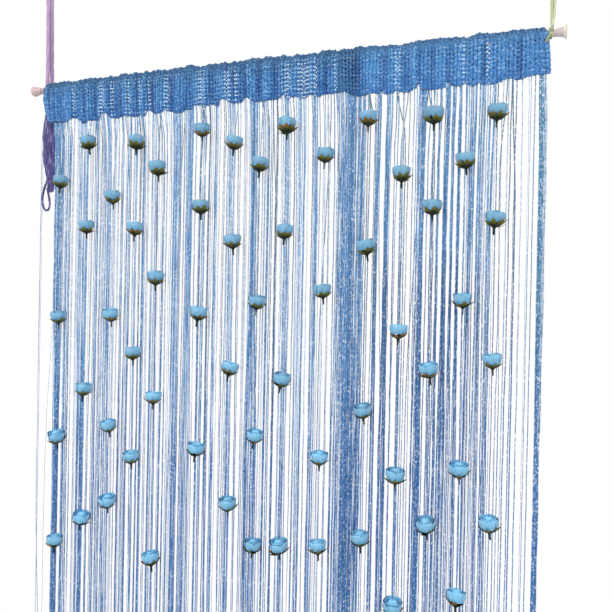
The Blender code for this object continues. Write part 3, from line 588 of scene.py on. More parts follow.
def net_finish(settings):
    """Knitted net: painted shade in the folds and at the pleat, darker along the hem, speckled with
    pale stitches and painted light.
    """
    f = Finish("blue_net", Roughness=0.85, Sheen_Weight=0.05, Sheen_Roughness=0.5)
    shade, opening = f.value("shade"), f.value("opening")
    side, height = f.axis("X"), f.axis("Z")
    depth = f.times_plus(f.noise(70.0, 3.0), 0.9, f.math("SUBTRACT", shade, 0.42))
    # Painted shade: the shade attribute darkens the yarn towards deep in the folds and lines, mixed
    # with random patches
    f.start(f.span(depth, 0.05, 0.75), settings.deep, settings.middle)
    f.paint((0.024, 0.104, 0.228), height, -0.020, 0.002, 0.0, 0.72)
    f.paint((0.016, 0.112, 0.390), height, -0.042, -0.054, 0.0, 0.50)
    f.paint((0.110, 0.340, 0.740), side, 0.155, 0.175, 0.0, 0.20)
    # Painted shade over the widest pleat, where its layers lie in shade
    pleat = f.span(f.off(side, PLEAT_CENTRE), 0.0155, 0.0125)
    f.paint((0.024, 0.105, 0.240), f.times(pleat, 0.60))
    speckle = f.noise(480.0, 2.0, f.stretch((1.0, 0.4, 0.6)))
    f.paint(tinted(settings.deep, 0.9), speckle, 0.46, 0.32, 0.0, 0.50)
    # Pale fibres painted as glints, fainter where the painted fold shade is deep
    fibre_glints = f.span(f.times_plus(pleat, -0.05, speckle), 0.52, 0.68)
    pale = f.times(fibre_glints, f.span(f.value("tone"), 0.0, 1.0, 0.25, 0.62))
    f.paint(settings.light, f.times(pale, f.span(shade, 0.1, 0.7, 0.35, 1.0)))
    # Painted light: pale dots on the stitches, for light through the openings and highlights on the
    # stitches
    painted_light_dots = f.times(f.span(f.value("bead"), 0.50, 0.90),
                    f.span(f.times_plus(opening, 0.25, f.noise(150.0)), 0.44, 0.60))
    painted_light_dots = f.times(painted_light_dots, f.span(height, 0.004, -0.008))
    f.paint((0.640, 0.860, 1.000), f.times(painted_light_dots, f.times_plus(opening, 0.60, 0.32)))
    # Painted light on the back cloth's inward side, which lies in the sleeve's shade
    f.paint((0.420, 0.740, 1.000), f.value("inner"))
    stitch = f.math("SINE", f.times_plus(f.off(f.value("around"), 0.5), 9.0,
                                         f.times(f.value("run"), 2400.0)))
    return f.done(f.span(fibre_glints, 0.0, 1.0, 0.92, 0.68),
                  f.times_plus(f.noise(1800.0), 0.6, f.times(stitch, 0.4)), 0.0006, 1.0)


def string_finish(settings):
    """Flat yarn in three tones, deeper lower down, with a broken metallic thread in it that carries
    painted glints.
    """
    f = Finish("blue_string", Roughness=0.60, Sheen_Weight=0.05)
    tone, run = f.value("tone"), f.value("run")
    side, height = f.axis("X"), f.axis("Z")
    dark = f.mix(f.span(height, -0.10, -0.60), (0.082, 0.180, 0.300), (0.034, 0.138, 0.350))
    f.start(f.span(height, -0.12, -0.66), settings.pale, settings.deep)
    f.paint((0.040, 0.165, 0.400), tone, 0.60, 0.44, 0.0, 0.55)
    f.paint((0.270, 0.480, 0.780), tone, 0.66, 0.80, 0.0, 0.55)
    f.start(f.span(tone, 0.28, 0.42), dark, f.body)
    f.paint((0.070, 0.230, 0.330), side, 0.385, 0.405, 0.0, 0.6)
    f.paint((0.540, 0.650, 0.800),
            f.times(f.span(tone, 0.84, 0.92), f.span(height, -0.25, -0.60, 0.9, 0.55)))
    navy = f.times(f.span(height, -0.27, -0.34),
                   f.times(f.span(side, 0.168, 0.190), f.span(side, 0.400, 0.305)))
    f.paint((0.018, 0.080, 0.250), f.times(navy, 0.58))
    right = f.times(f.span(height, -0.36, -0.50), f.span(side, 0.120, 0.160))
    f.paint((0.038, 0.180, 0.490), f.times(right, 0.45))
    f.paint((0.036, 0.190, 0.510), height, -0.54, -0.64, 0.0, 0.80)
    streak = f.noise(1.0, 2.0, f.point(X=f.times(tone, 321.0), Y=f.times(run, 45.0)))
    f.paint(dark, streak, 0.30, 0.50, 0.45, 0.0)
    f.paint((0.330, 0.490, 0.760), streak, 0.55, 0.75, 0.0, 0.40)
    thread = f.noise(1.0, 1.0, f.point(X=f.times(tone, 811.0), Y=f.times(run, 270.0)))
    f.paint(dark, thread, 0.44, 0.34, 0.0, 0.50)
    # Painted glints: near-white specks on the metallic thread, beside its real metallic shine
    glint = f.span(thread, 0.57, 0.65)
    f.paint(settings.glint, f.times(glint, 0.8))
    f.link(f.times(glint, 0.4), "Metallic")
    twist = f.math("SINE", f.times_plus(f.value("around"), 6.283, f.times(run, 3900.0)))
    return f.done(f.span(glint, 0.0, 1.0, 0.66, 0.25), twist, 0.0002, 0.6)


def petal_finish(settings):
    """Satin with painted light towards the tips and painted shade lower down and at the edges, soft
    creases with painted sheen, and a fine weave.
    """
    f = Finish("sky_blue_satin", Roughness=0.42, Sheen_Weight=0.4, Sheen_Roughness=0.35)
    tone, height = f.value("tone"), f.value("height")
    # Painted light towards the petals' tips, painted shade lower down
    f.start(f.span(height, 0.0, 1.0, 0.05, 0.85), tinted(settings.petal, 0.80),
            settings.petal_tip_painted_light)
    f.paint((0.130, 0.520, 0.820), tone, 0.0, 1.0, 0.0, 0.35)
    # Soft creases whose raised parts are painted pale as a satin sheen
    crease_sheen = f.span(f.noise(420.0, 3.0), 0.40, 0.72)
    f.paint((0.560, 0.750, 0.880), f.times(crease_sheen, 0.22))
    # Painted shade along the petals' side edges and rims
    f.paint(tinted(settings.petal, 0.6), f.value("edge"), 0.55, 1.0, 0.0, 0.20)
    f.paint(tinted(settings.petal, 0.30), tone, 0.0, 0.95, 0.42, 0.0)
    # Painted light on the upper petals of the lower rosebuds, lifting the shade inside them
    f.paint((0.270, 0.700, 0.990),
            f.times(f.span(height, 0.70, 1.0), f.span(tone, 0.45, 0.90, 0.0, 0.75)))
    return f.done(f.span(crease_sheen, 0.0, 1.0, 0.50, 0.32),
                  f.times_plus(f.noise(3000.0), 0.25, crease_sheen), 0.0005, 0.5)


def leaf_finish(settings):
    """Dark green cup and stem, olive leaves with brown tips."""
    f = Finish("green_and_brown_leaf", Roughness=0.70, Specular_IOR_Level=0.15)
    tip = f.value("tip")
    patch = f.noise(260.0, 3.0)
    f.start(f.span(tip, 0.42, 0.85), settings.stem, settings.leaf)
    turn = f.math("ADD", tip, f.times_plus(f.value("tone"), 0.6, -0.3))
    f.paint(settings.leaf_tip, f.times_plus(patch, 0.5, turn), 0.95, 1.35, 0.0, 0.8)
    vein = f.span(f.value("edge"), 0.0, 0.25, 0.35, 0.0)
    f.paint(tinted(settings.leaf, 0.45), f.times(vein, tip))
    return f.done(f.span(patch, 0.3, 0.7, 0.70, 0.45),
                  f.times_plus(f.noise(1500.0), 0.5, patch), 0.0004, 0.6)


def yarn_finish(name, light, dark, tints=(), stretches=(), sheen=0.20, ply=1.0):
    """Soft spun yarn: painted shade between its plies, with stray tints and darker stretches."""
    f = Finish(name, Roughness=0.92, Sheen_Weight=sheen, Sheen_Roughness=0.6)
    run = f.value("run")
    fibre = f.noise(1500.0, 2.0, f.stretch((1.0, 1.0, 0.22)))
    # Painted shade: the yarn darkens towards its dark copy in the grooves between plies, mixed with
    # fibre noise
    groove_shade = f.span(f.value("groove"), 0.0, 1.0, 0.45 - 0.75 * ply, 0.45 + 0.25 * ply)
    f.start(f.times_plus(fibre, 0.7, groove_shade), dark, light)
    drift = f.noise(1.0, 2.0, f.point(Y=f.times(run, 42.0)))
    for low, high, tint in tints:
        f.paint(tint, drift, low, high, 0.0, 0.65)
    for start, full, tint, amount in stretches:
        f.paint(tint, run, start, full, 0.0, amount)
    return f.done(f.span(fibre, 0.3, 0.7, 0.95, 0.80),
                  f.times_plus(f.noise(2600.0), 0.5, fibre), 0.0006, 0.8)


def rod_finish(settings):
    """Thin pinkish paint on metal, with fine draw lines along it."""
    f = Finish("pinkish_rod_paint", Roughness=0.38, Metallic=0.15, Coat_Weight=0.2)
    lines = f.noise(300.0, 3.0, f.stretch((0.05, 1.0, 1.0)))
    f.start(f.span(lines, 0.3, 0.7), tinted(settings.rod, 0.85), tinted(settings.rod, 1.15))
    wear = f.span(f.noise(90.0, 4.0), 0.55, 0.75)
    f.paint((0.62, 0.52, 0.47), f.times(wear, 0.3))
    return f.done(f.span(lines, 0.3, 0.7, 0.30, 0.50), lines, 0.0001, 0.4)


def cap_finish(name, colour, neck, band, rim):
    """Moulded plastic: its neck, body, band and rim, with faint flow marks and rubbed edges.

    neck is (end, colour), band is (start, end, colour) and rim is (start, colour).
    """
    f = Finish(name, Roughness=0.42, Coat_Weight=0.15)
    along = f.value("along")
    cloud = f.noise(160.0, 4.0)
    f.start(f.span(cloud, 0.3, 0.7), tinted(colour, 0.86), tinted(colour, 1.10))
    f.paint(neck[1], along, neck[0], neck[0] - 0.0006)
    f.paint(band[2], f.times(f.span(along, band[0], band[0] + 0.0006),
                             f.span(along, band[1] + 0.0004, band[1])))
    f.paint(rim[1], along, rim[0], rim[0] + 0.0004)
    f.paint((0.78, 0.70, 0.66), f.noise(500.0), 0.55, 0.70, 0.0, 0.25)
    return f.done(f.span(cloud, 0.3, 0.7, 0.34, 0.52), f.noise(900.0, 3.0), 0.0002, 0.3)


def floor_finish(settings):
    """Plain pale floor with a barely uneven surface."""
    f = Finish("pale_floor", Roughness=0.8)
    f.start(f.span(f.noise(3.0, 3.0), 0.3, 0.7), tinted(settings.floor, 0.98),
            tinted(settings.floor, 1.02))
    return f.done(None, f.noise(300.0), 0.0003, 0.2)


# Cloth shapes

def fold_parts(x):
    """How far the folds bulge towards the viewer at x, and how far they lean sideways."""
    x = np.asarray(x, float)
    depth, lean = np.zeros_like(x), np.zeros_like(x)
    for fold in FOLDS:
        reach = np.where(x < fold.centre, fold.left, fold.right)
        bulge = fold.depth * np.exp(-((x - fold.centre) / reach) ** 2)
        depth += bulge
        lean += fold.lean * bulge
    return depth, lean


def hem_height(x):
    """Height of the cloth's lower edge, which rises sharply between folds."""
    return np.interp(x, *zip(*HEM_LINE))


def ripple_rows(seed, spacing, reach, depth):
    rng = random.Random(seed)
    rows = []
    x = -HEADING_HALF
    while x < HEADING_HALF:
        x += rng.uniform(*spacing)
        rows.append((x, rng.uniform(*reach), rng.uniform(*depth) * rng.choice((-1, 1))))
    return rows


TOP_RIPPLES = ripple_rows(21, (0.005, 0.010), (0.0020, 0.0036), (0.0006, 0.0015))
LOW_RIPPLES = ripple_rows(22, (0.007, 0.014), (0.0026, 0.0050), (0.0004, 0.0013))


def ripple(x, rows):
    return sum(depth * np.exp(-((x - centre) / reach) ** 2) for centre, reach, depth in rows)


def valley_share(x, reach=0.0021):
    """1 in the bottom of a deep narrow line, 0 away from the lines."""
    return np.max([v.depth * np.exp(-((x - v.centre) / reach) ** 2) for v in VALLEYS], axis=0)


def opening_share(x):
    """1 where the back cloth's openings lie behind the front's, 0 elsewhere."""
    return np.max([np.exp(-((x - o.centre) / o.reach) ** 4) for o in OPENINGS], axis=0)


def pleat_share(x):
    """1 at the widest pleat, which nothing shows through, and 0 away from it."""
    return np.exp(-((x - PLEAT_CENTRE) / 0.0140) ** 6)


def end_swing(x, share):
    """How far the cloth near the heading's ends stands along the rod from plumb."""
    near = np.clip((np.abs(x) - HEADING_HALF + END_REACH) / END_REACH, 0, 1)
    left = np.interp(share, END_STATIONS, LEFT_ENDS)
    right = np.interp(share, END_STATIONS, RIGHT_ENDS)
    return near * np.where(x < 0, left, right)


def sleeve_point(x, level, side):
    """The cloth at x, at a height from the rod's axis, in front (-1) or behind (1)."""
    depth, lean = fold_parts(x)
    top, low = ripple(x, TOP_RIPPLES), ripple(x, LOW_RIPPLES)
    share = np.clip((0.0050 - level) / (0.0050 - hem_height(x)), 0.0, 1.0)
    belly = np.interp(share, SLEEVE_STATIONS, FRONT_BELLY if side < 0 else BACK_BELLY)
    taken = np.interp(share, SLEEVE_STATIONS, FRONT_SHARE if side < 0 else BACK_SHARE) * depth
    if side < 0:
        y = -belly - taken
        y += np.interp(share, [0.0, 0.2, 0.8, 1.0], [0.0, 0.0010, 0.0017, 0.0008]) * valley_share(x)
    else:
        y = belly + taken
        y += np.interp(share, SLEEVE_STATIONS, [0.1, 0.35, 0.35, 0.0, 0.0, 0.0]) * fold_parts(-x)[0]
    fade = np.interp(share, [0.0, 0.15, 0.55, 1.0], [0.5, 1.0, 0.5, 0.0])
    y = y - fade * top * (1 if side < 0 else 0.6)
    y = y - np.interp(share, [0.0, 0.3, 1.0], [0.0, 0.3, 1.0]) * low
    rise = np.interp(x, *zip(*RIDGE_LINE)) - 0.0058 + 0.25 * top
    lifted = rise * np.clip(1 - share / 0.12, 0, 1)
    lower = np.interp(share, [0.0, 0.2, 1.0], [0.15, 0.55, 1.0])
    return np.stack([x + lean * lower + end_swing(x, share), y, level + lifted], axis=-1), share


def back_point(x, level, pitch):
    """The back cloth's point that belongs to x and a height, beside or behind the front's."""
    front, share = sleeve_point(x, level, -1)
    point, share = sleeve_point(x, level, 1)
    apart = np.clip(point[..., 1] - front[..., 1], 0.0, 0.016)
    grown = np.clip(share / 0.22, 0, 1)
    beside = (1 - opening_share(x)) * pitch * 0.5
    point[..., 0] += grown * np.clip(apart * (x - CAMERA_X) / -CAMERA_Y + beside, -0.0165, 0.0165)
    point[..., 2] += grown * (1 - share) * np.clip(apart * (level - CAMERA_Z) / -CAMERA_Y, 0.0, 0.007)
    edge = HEADING_HALF - 0.0020
    near = end_swing(x, share)
    point[..., 0] = np.clip(point[..., 0], -edge + np.where(x < 0, near, 0.0),
                            edge + np.where(x > 0, near, 0.0))
    return point, share


def column_places(pitch, inset):
    """Places of the chains, a pitch apart along the folded cloth."""
    x = np.linspace(inset - HEADING_HALF, HEADING_HALF - inset, 6001)
    depth, lean = fold_parts(x)
    y = (0.0010 * valley_share(x) - depth - 0.5 * ripple(x, TOP_RIPPLES)
         - 0.5 * ripple(x, LOW_RIPPLES))
    reached = run_along(np.stack([x + lean, y], axis=1))
    count = round(reached[-1] / pitch)
    return np.interp(np.linspace(0, reached[-1], count + 1), reached, x)


# Operators: one for each piece or group of like pieces

def stands_for(piece, slot, *nodes):
    """Rides on the curtain's one body and stands for its solids, which it hides; slot is not used."""
    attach(piece, "root")
    if nodes:
        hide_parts(*nodes)
    return piece


class CURTAIN_OT_stage(bpy.types.Operator):
    """Camera, floor, room light and two large soft lights"""
    bl_idname = "curtain.stage"
    bl_label = "Stage and camera"

    def execute(self, context):
        settings = context.scene.curtain_stage
        scene = context.scene
        for obj in list(scene.objects):
            if obj.type in ("CAMERA", "LIGHT"):
                bpy.data.objects.remove(obj, do_unlink=True)
        scene.view_settings.view_transform = "Standard"
        scene.view_settings.look = "None"
        self.add_camera(scene)
        self.add_floor(settings)
        world = bpy.data.worlds.new("room")
        scene.world = world
        world.use_nodes = True
        background = world.node_tree.nodes["Background"]
        background.inputs["Color"].default_value = (1.0, 1.0, 1.0, 1.0)
        background.inputs["Strength"].default_value = settings.room
        self.add_light(scene, "key", (-0.9, -2.0, 1.1), 1.6, settings.key)
        self.add_light(scene, "fill", (1.8, -1.4, 0.6), 1.4, settings.key * 0.35)
        return {"FINISHED"}

    def add_camera(self, scene):
        data = bpy.data.cameras.new("camera")
        data.sensor_fit = "HORIZONTAL"
        data.sensor_width = SENSOR_WIDTH
        data.lens = SENSOR_WIDTH
        data.clip_start = 0.01
        camera = bpy.data.objects.new("camera", data)
        scene.collection.objects.link(camera)
        yaw, pitch, roll = (math.radians(a) for a in (CAMERA_YAW, CAMERA_PITCH, CAMERA_ROLL))
        ahead = Vector((-math.sin(yaw) * math.cos(pitch), math.cos(yaw) * math.cos(pitch),
                        -math.sin(pitch)))
        right = ahead.cross(Vector((0.0, 0.0, 1.0))).normalized()
        down = ahead.cross(right)
        turned_right = math.cos(roll) * right + math.sin(roll) * down
        turned_down = -math.sin(roll) * right + math.cos(roll) * down
        axes = Matrix((turned_right, -turned_down, -ahead)).transposed().to_4x4()
        camera.matrix_world = Matrix.Translation((CAMERA_X, CAMERA_Y, CAMERA_Z)) @ axes
        scene.camera = camera

    def add_floor(self, settings):
        surface = Surface()
        wide, deep = np.linspace(-1.6, 1.6, 9), np.linspace(-2.2, 1.5, 9)
        surface.add([(x, y, -2.03) for y in deep for x in wide], [grid_faces(8, 8)])
        floor = surface.make("floor", floor_finish(settings))

    def add_light(self, scene, name, place, size, power):
        data = bpy.data.lights.new(name, "AREA")
        data.shape = "DISK"
        data.size = size
        data.energy = power
        light = bpy.data.objects.new(name, data)
        light.location = place
        towards = Vector((0.0, 0.0, -0.4)) - Vector(place)
        light.rotation_euler = towards.to_track_quat("-Z", "Y").to_euler()
        scene.collection.objects.link(light)


def spun_yarn(name, path, diameter, finish, plies=3, ply_turn=3.4, fullness=0.74, relief=0.28):
    """Plies twisted together along a path of closely spaced points."""
    across, through = carried_frame(path)
    run = run_along(path)
    sides = 12
    angle = np.arange(sides) * math.tau / sides
    turn = run / (ply_turn * diameter) * math.tau
    lobes = np.cos(0.5 * plies * (angle[None, :] - turn[:, None])) ** 2
    thick = diameter / 2 * (fullness + relief * lobes ** 0.7)
    swell = 1 + 0.05 * np.sin(run / diameter * 1.3) + 0.04 * np.sin(run / diameter * 3.1)
    thick *= swell[:, None]
    thick[[0, -1]] *= 0.6
    points = (path[:, None] + across[:, None] * (thick * np.cos(angle))[..., None]
              + through[:, None] * (thick * np.sin(angle))[..., None])
    index = np.arange(len(path) * sides).reshape(-1, sides)
    surface = Surface()
    surface.add(points, [wall_faces(index).reshape(-1, 4), index[:1, ::-1], index[-1:]],
                groove=lobes.reshape(-1), run=np.repeat(run, sides))
    return surface.make(name, finish)


def wound_turns(start_x, radius, pitch, turns, side, start, steps=30):
    """Points of a yarn wound round the rod, from the front over the top."""
    angle = np.linspace(0, turns * math.tau, round(turns * steps) + 1) + start
    x = start_x + side * pitch * (angle - angle[0]) / math.tau
    return np.stack([x, -radius * np.cos(angle), radius * np.sin(angle)], axis=1)


def hank_section(height):
    """The bundle's middle and the room for a yarn's middle to each side and in depth."""
    heights, *columns = zip(*HANK_RINGS)
    x, wide, deep = (float(np.interp(-height, [-h for h in heights], c)) for c in columns)
    return x, wide - HANK_YARN, deep - HANK_YARN


def hank_fold(turn, side):
    """The bend at the bundle's bottom (-1) or top (1), wide enough for a soft yarn."""
    level = turn.bottom if side < 0 else turn.top
    x, wide, deep = hank_section(level - side * 0.012)
    half = 0.0040 if side < 0 else max(0.0074, 0.75 * wide)
    bend, arm = (0.0016, 0.0052) if side < 0 else (0.0026, 0.0095)
    y = HANK_DEPTH + deep * turn.depth
    return [(x - side * half * across, y, level - side * drop) for across, drop in (
        (1, arm), (0.66, bend), (0, 0), (-0.66, bend), (-1, arm))]


def hank_route():
    """The spare yarn: turns in a bundle that is tied near its lower end, then its long loop."""
    route = [LEFT_TIE_ROUTE[-1]]
    for number, turn in enumerate(HANK_TURNS):
        for side, out, heights in ((1, turn.right, HANK_STATIONS),
                                   (-1, turn.left, HANK_STATIONS[::-1])):
            for height in heights:
                x, wide, deep = hank_section(height)
                sway = 0.0011 * math.sin(height * 170.0 + number * 2.1 + side)
                route.append((x + side * wide * out + sway, HANK_DEPTH + deep * turn.depth, height))
            if side > 0 or number + 1 < len(HANK_TURNS):
                route += hank_fold(turn, -side)
    return route + list(HANK_TAIL_ROUTE) + list(SPARE_LOOP_ROUTE)


class CURTAIN_OT_ties(bpy.types.Operator):
    """Two yarn ties, the left one with its spare hank, the right one with its knot"""
    bl_idname = "curtain.ties"
    bl_label = "Yarn ties"

    def execute(self, context):
        settings = context.scene.curtain_ties
        self.left_tie(settings)
        self.spare_hank(settings)
        self.right_tie(settings)
        return {"FINISHED"}

    def left_tie(self, settings):
        d = settings.left_yarn
        path = smooth_route(LEFT_TIE_ROUTE, d * 0.20)
        length = route_length(path)
        lilac = yarn_finish(
            "lilac_yarn", settings.purple, tinted(settings.purple, 0.48),
            ((0.62, 0.78, (0.56, 0.45, 0.60)), (0.42, 0.30, (0.30, 0.17, 0.36))),
            ((length * 0.55, length * 0.80, (0.250, 0.150, 0.330), 0.75),), ply=0.35)
        tie = stands_for(spun_yarn("purple_tie", path, d, lilac, plies=2, ply_turn=12.0,
                                   fullness=1.06, relief=0.05), "purple_yarn", "tie_left")
        pale = yarn_finish("pale_binding_yarn", (0.50, 0.44, 0.50), (0.30, 0.25, 0.31))
        e = LEFT_WRAP_RADIUS - ROD_RADIUS
        turns = wound_turns(LEFT_WRAP_X + 0.5 * LEFT_WRAP_WIDTH - 0.5 * e, ROD_RADIUS + 0.48 * e,
                            0.9 * e, (LEFT_WRAP_WIDTH - e) / (0.9 * e), -1, start=2.4)
        wrap = stands_for(spun_yarn("pale_winding", smooth_route(turns, e * 0.35), e, pale),
                          "purple_yarn", "wrap_left")

    def spare_hank(self, settings):
        d = settings.spare_yarn
        violet = yarn_finish(
            "violet_yarn", settings.spare, tinted(settings.spare, 0.24),
            ((0.54, 0.64, (0.36, 0.31, 0.58)), (0.48, 0.36, (0.026, 0.022, 0.105))), sheen=0.08)
        path = smooth_route(hank_route(), d * 0.40)
        for _ in range(8):
            path[1:-1] = 0.5 * path[1:-1] + 0.25 * (path[:-2] + path[2:])
        spare = stands_for(spun_yarn("violet_spare_yarn", path, d, violet, fullness=0.96, relief=0.20),
                           "purple_yarn", "spare_hank", "spare_loop")
        angle = np.linspace(0, 2.3 * math.tau, 70)
        band = np.stack([-0.4162 + 0.0068 * np.cos(angle), HANK_DEPTH + 0.0048 * np.sin(angle),
                         -0.1500 - 0.0024 * angle / math.tau], axis=1)
        tied = stands_for(spun_yarn("violet_hank_band", band, 0.0024, violet), "purple_yarn")

    def right_tie(self, settings):
        d = settings.right_yarn
        radius = 0.5 * (ROD_RADIUS + RIGHT_WRAP_RADIUS)
        turns = wound_turns(RIGHT_WRAP_X - 0.0012, radius, RIGHT_WRAP_PITCH, 1.25, 1, start=-0.6,
                            steps=14)
        up = RIGHT_TIE_ROUTE[::-1]
        route = [*TAIL_ROUTE, TAIL_END, *turns[1:].tolist(), *up[1:]]
        path = smooth_route(route, d * 0.25)
        length = route_length(path)
        wound = route_length(smooth_route(route[:len(TAIL_ROUTE) + len(turns)], d))
        green = yarn_finish(
            "pale_green_yarn", settings.green, tinted(settings.green, 0.55),
            ((0.60, 0.74, (0.72, 0.76, 0.55)), (0.42, 0.30, (0.36, 0.44, 0.22))),
            ((length - 0.060, length - 0.035, (0.380, 0.440, 0.230), 0.7),
             (wound + 0.012, wound + 0.002, (0.190, 0.240, 0.130), 0.85)), ply=0.35)
        tie = stands_for(spun_yarn("green_tie", path, d, green, plies=2, ply_turn=10.0,
                                   fullness=0.98, relief=0.06), "green_yarn", "tie_right",
                         "wrap_right", "tail_right")
        angle = np.linspace(0, 1.6 * math.tau, 40)
        x, y, z = KNOT_CENTRE
        knot_path = np.stack([x + 0.0017 * np.cos(angle), y - 0.0003 + 0.0012 * np.sin(angle * 0.5),
                              z + 0.0017 * np.sin(angle)], axis=1)
        light = yarn_finish("green_knot_yarn", settings.green, tinted(settings.green, 0.5))
        knot = stands_for(spun_yarn("green_knot", knot_path, 0.0022, light), "green_yarn",
                          "knot_right")


class CURTAIN_OT_heading(bpy.types.Operator):
    """Knitted net sleeve, gathered on the rod in uneven folds"""
    bl_idname = "curtain.heading"
    bl_label = "Net heading"

    def execute(self, context):
        settings = context.scene.curtain_heading
        x = column_places(settings.column_pitch, 0.0018)
        rng = np.random.default_rng(5)
        tone = rng.random(len(x))
        surface = Surface()
        self.add_chains(surface, settings, x, tone, rng)
        self.add_bars(surface, settings, x, tone)
        self.add_hem(surface, x)
        net = stands_for(surface.make("net_heading", net_finish(settings)), "net", "heading")
        return {"FINISHED"}

    def add_chains(self, surface, settings, x, tone, rng):
        """Upright chains of stitches: up the back, over the rod and down the front."""
        front, share = sleeve_point(x[:, None], self.chain_levels(x, 23), -1)
        back, back_share = back_point(x[:, None], self.chain_levels(x, 14), np.gradient(x)[:, None])
        behind = back.shape[1]
        path = np.concatenate([back[:, ::-1], front], axis=1)
        path[1:-1, :, 0] += self.unevenness(path[1:-1, :, 2], x[1:-1, None])
        share = np.concatenate([back_share[:, ::-1], share], axis=1)
        along = unit(np.gradient(path, axis=1))
        across = unit(np.gradient(path, axis=0))
        across = unit(across - along * np.einsum("ijk,ijk->ij", across, along)[..., None])
        through = np.cross(along, across)
        run = np.concatenate([np.zeros((len(x), 1)), np.cumsum(
            np.linalg.norm(np.diff(path, axis=1), axis=2), axis=1)], axis=1)
        shade = np.broadcast_to(self.fold_shade(x)[:, None], share.shape).copy()
        shade[:, :behind] = self.back_shade(x)[:, None]
        bead = 0.5 + 0.5 * np.cos((path[..., 2] + 0.00045) / settings.row_pitch * math.tau)
        wide = settings.chain_width / 2 * (0.82 + 0.24 * bead) * rng.uniform(
            0.85, 1.15, (len(x), 1)) * rng.uniform(0.90, 1.10, bead.shape)
        wide *= 1 + 0.35 * np.clip((np.abs(x) - 0.402) / 0.004, 0, 1)[:, None]
        opening = opening_share(x)
        closed = (1 - np.clip(0.6 * opening + pleat_share(x), 0, 1))[:, None]
        wide[:, :behind] *= 1 + 0.06 * closed
        wide[:, behind:] *= 1 + 0.48 * closed
        sides = 6
        angle = around(sides) * math.tau
        facing = -(across[..., None, 1] * np.cos(angle) + through[..., None, 1] * np.sin(angle))
        # Painted light for the back chains' inward side, outside the pleat, against the sleeve's shade
        inner = np.zeros(share.shape)
        inner[:, :behind - 2] = 1 - pleat_share(x)[:, None]
        inner = inner[..., None] * np.clip(0.3 + 2.0 * facing, 0, 1)
        sweep(surface, path, across, through, wide, 0.00058 + 0.00022 * bead, sides,
              shade=shade, tone=tone[:, None], run=run, inner=inner, opening=opening[:, None],
              bead=bead)

    def chain_levels(self, x, rings):
        """Heights of the chains' rings, from the ridge down to the hem."""
        steps = np.concatenate([np.linspace(0.0, 0.10, 4)[:-1], np.linspace(0.10, 1.0, rings)])
        return 0.0052 - steps[None, :] * (0.0052 - hem_height(x)[:, None])

    def unevenness(self, level, x):
        """How far a chain strays sideways: less than a millimetre, never alike."""
        return (0.00032 * np.sin(level * 620.0 + x * 2900.0)
                + 0.00030 * np.sin(level * 1130.0 - x * 4700.0))

    def fold_shade(self, x):
        """0 in the lines between folds, 1 on the crests."""
        depth = fold_parts(x)[0] + 0.8 * ripple(x, TOP_RIPPLES) + 0.6 * ripple(x, LOW_RIPPLES)
        crest = np.clip((depth + 0.0005) / 0.0060, 0, 1)
        return np.clip(0.45 + 0.60 * crest - 1.05 * valley_share(x, 0.0030), 0, 1)

    def back_shade(self, x):
        return 0.55 * (1 - pleat_share(x))

    def add_bars(self, surface, settings, x, tone):
        """Cross bars between neighbouring chains, close together near the top and the hem."""
        row = settings.row_pitch
        gap, hem = np.gradient(x), hem_height(x)
        rng = np.random.default_rng(8)
        pleat = np.abs(0.5 * (x[:-1] + x[1:]) - PLEAT_CENTRE) < 0.013
        closing = [(0.0049, False), (0.0022, True), (-0.0034, True)]
        levels = [(FIRST_BAR - row * k, True) for k in range(1, 9)]
        near_hem = [(FIRST_BAR - row * (8 + 0.5 * k), True) for k in range(1, 7)]
        bars = [(-1, *bar) for bar in closing + levels + near_hem]
        bars += [(1, *bar) for bar in levels + near_hem[1::2]]
        for side, level, everywhere in bars:
            keep = (hem[:-1] < level - 0.0016) & (hem[1:] < level - 0.0016)
            keep &= everywhere | ~pleat
            if not keep.any():
                continue
            left, right = x[:-1][keep], x[1:][keep]
            stagger = 1 - 2 * (np.nonzero(keep)[0] % 2)
            slant = 0.0006 * stagger + rng.uniform(-0.0003, 0.0003, len(left))
            stray = rng.uniform(-0.0004, 0.0004, len(left))
            if (level, everywhere) not in closing:
                clear = np.clip((level - hem[:-1][keep] - 0.0030) / 0.0060, 0, 1)
                stray += 0.25 * row * clear * stagger
            ends = []
            for place, sign in ((left, 1), (0.5 * (left + right), 0), (right, -1)):
                height = level + stray + sign * slant
                ends.append(sleeve_point(place, height, side)[0] if side < 0
                            else back_point(place, height, gap[:-1][keep])[0])
            path, across, through = self.upright_frame(np.stack(ends, axis=1))
            opening, pleated = opening_share(left), pleat_share(left)
            closed = 1 - np.clip(opening + pleated, 0, 1)
            middle = 1 - np.array([0.0, 0.20, 0.0]) * (1 - 0.45 * closed[:, None])
            half = settings.bar_height / 2 * middle * rng.uniform(0.85, 1.15, (len(left), 1))
            half *= 1 + (0.72 if side < 0 else 0.0) * closed[:, None]
            shade = self.fold_shade(left) if side < 0 else self.back_shade(left)
            facing = -through[..., None, 1] * np.sin(around(4) * math.tau)
            # Painted light for the back bars' inward side, outside the pleat
            inner = np.clip(0.3 + 2.0 * facing, 0, 1) * (side > 0 > level)
            inner = inner * (1 - pleated)[:, None, None]
            sweep(surface, path, across, through, half, 0.00042, 4,
                  shade=shade[:, None], tone=tone[:-1][keep][:, None] * 0.8,
                  run=np.array([0.0, 0.5, 1.0])[None, :] * settings.column_pitch,
                  inner=inner, opening=opening[:, None], bead=0.0)

    def upright_frame(self, path):
        """A path that runs along the cloth, with the directions up it and through it."""
        along = unit(np.gradient(path, axis=1))
        across = np.broadcast_to((0.0, 0.0, 1.0), path.shape)
        return path, across, unit(np.cross(along, across))

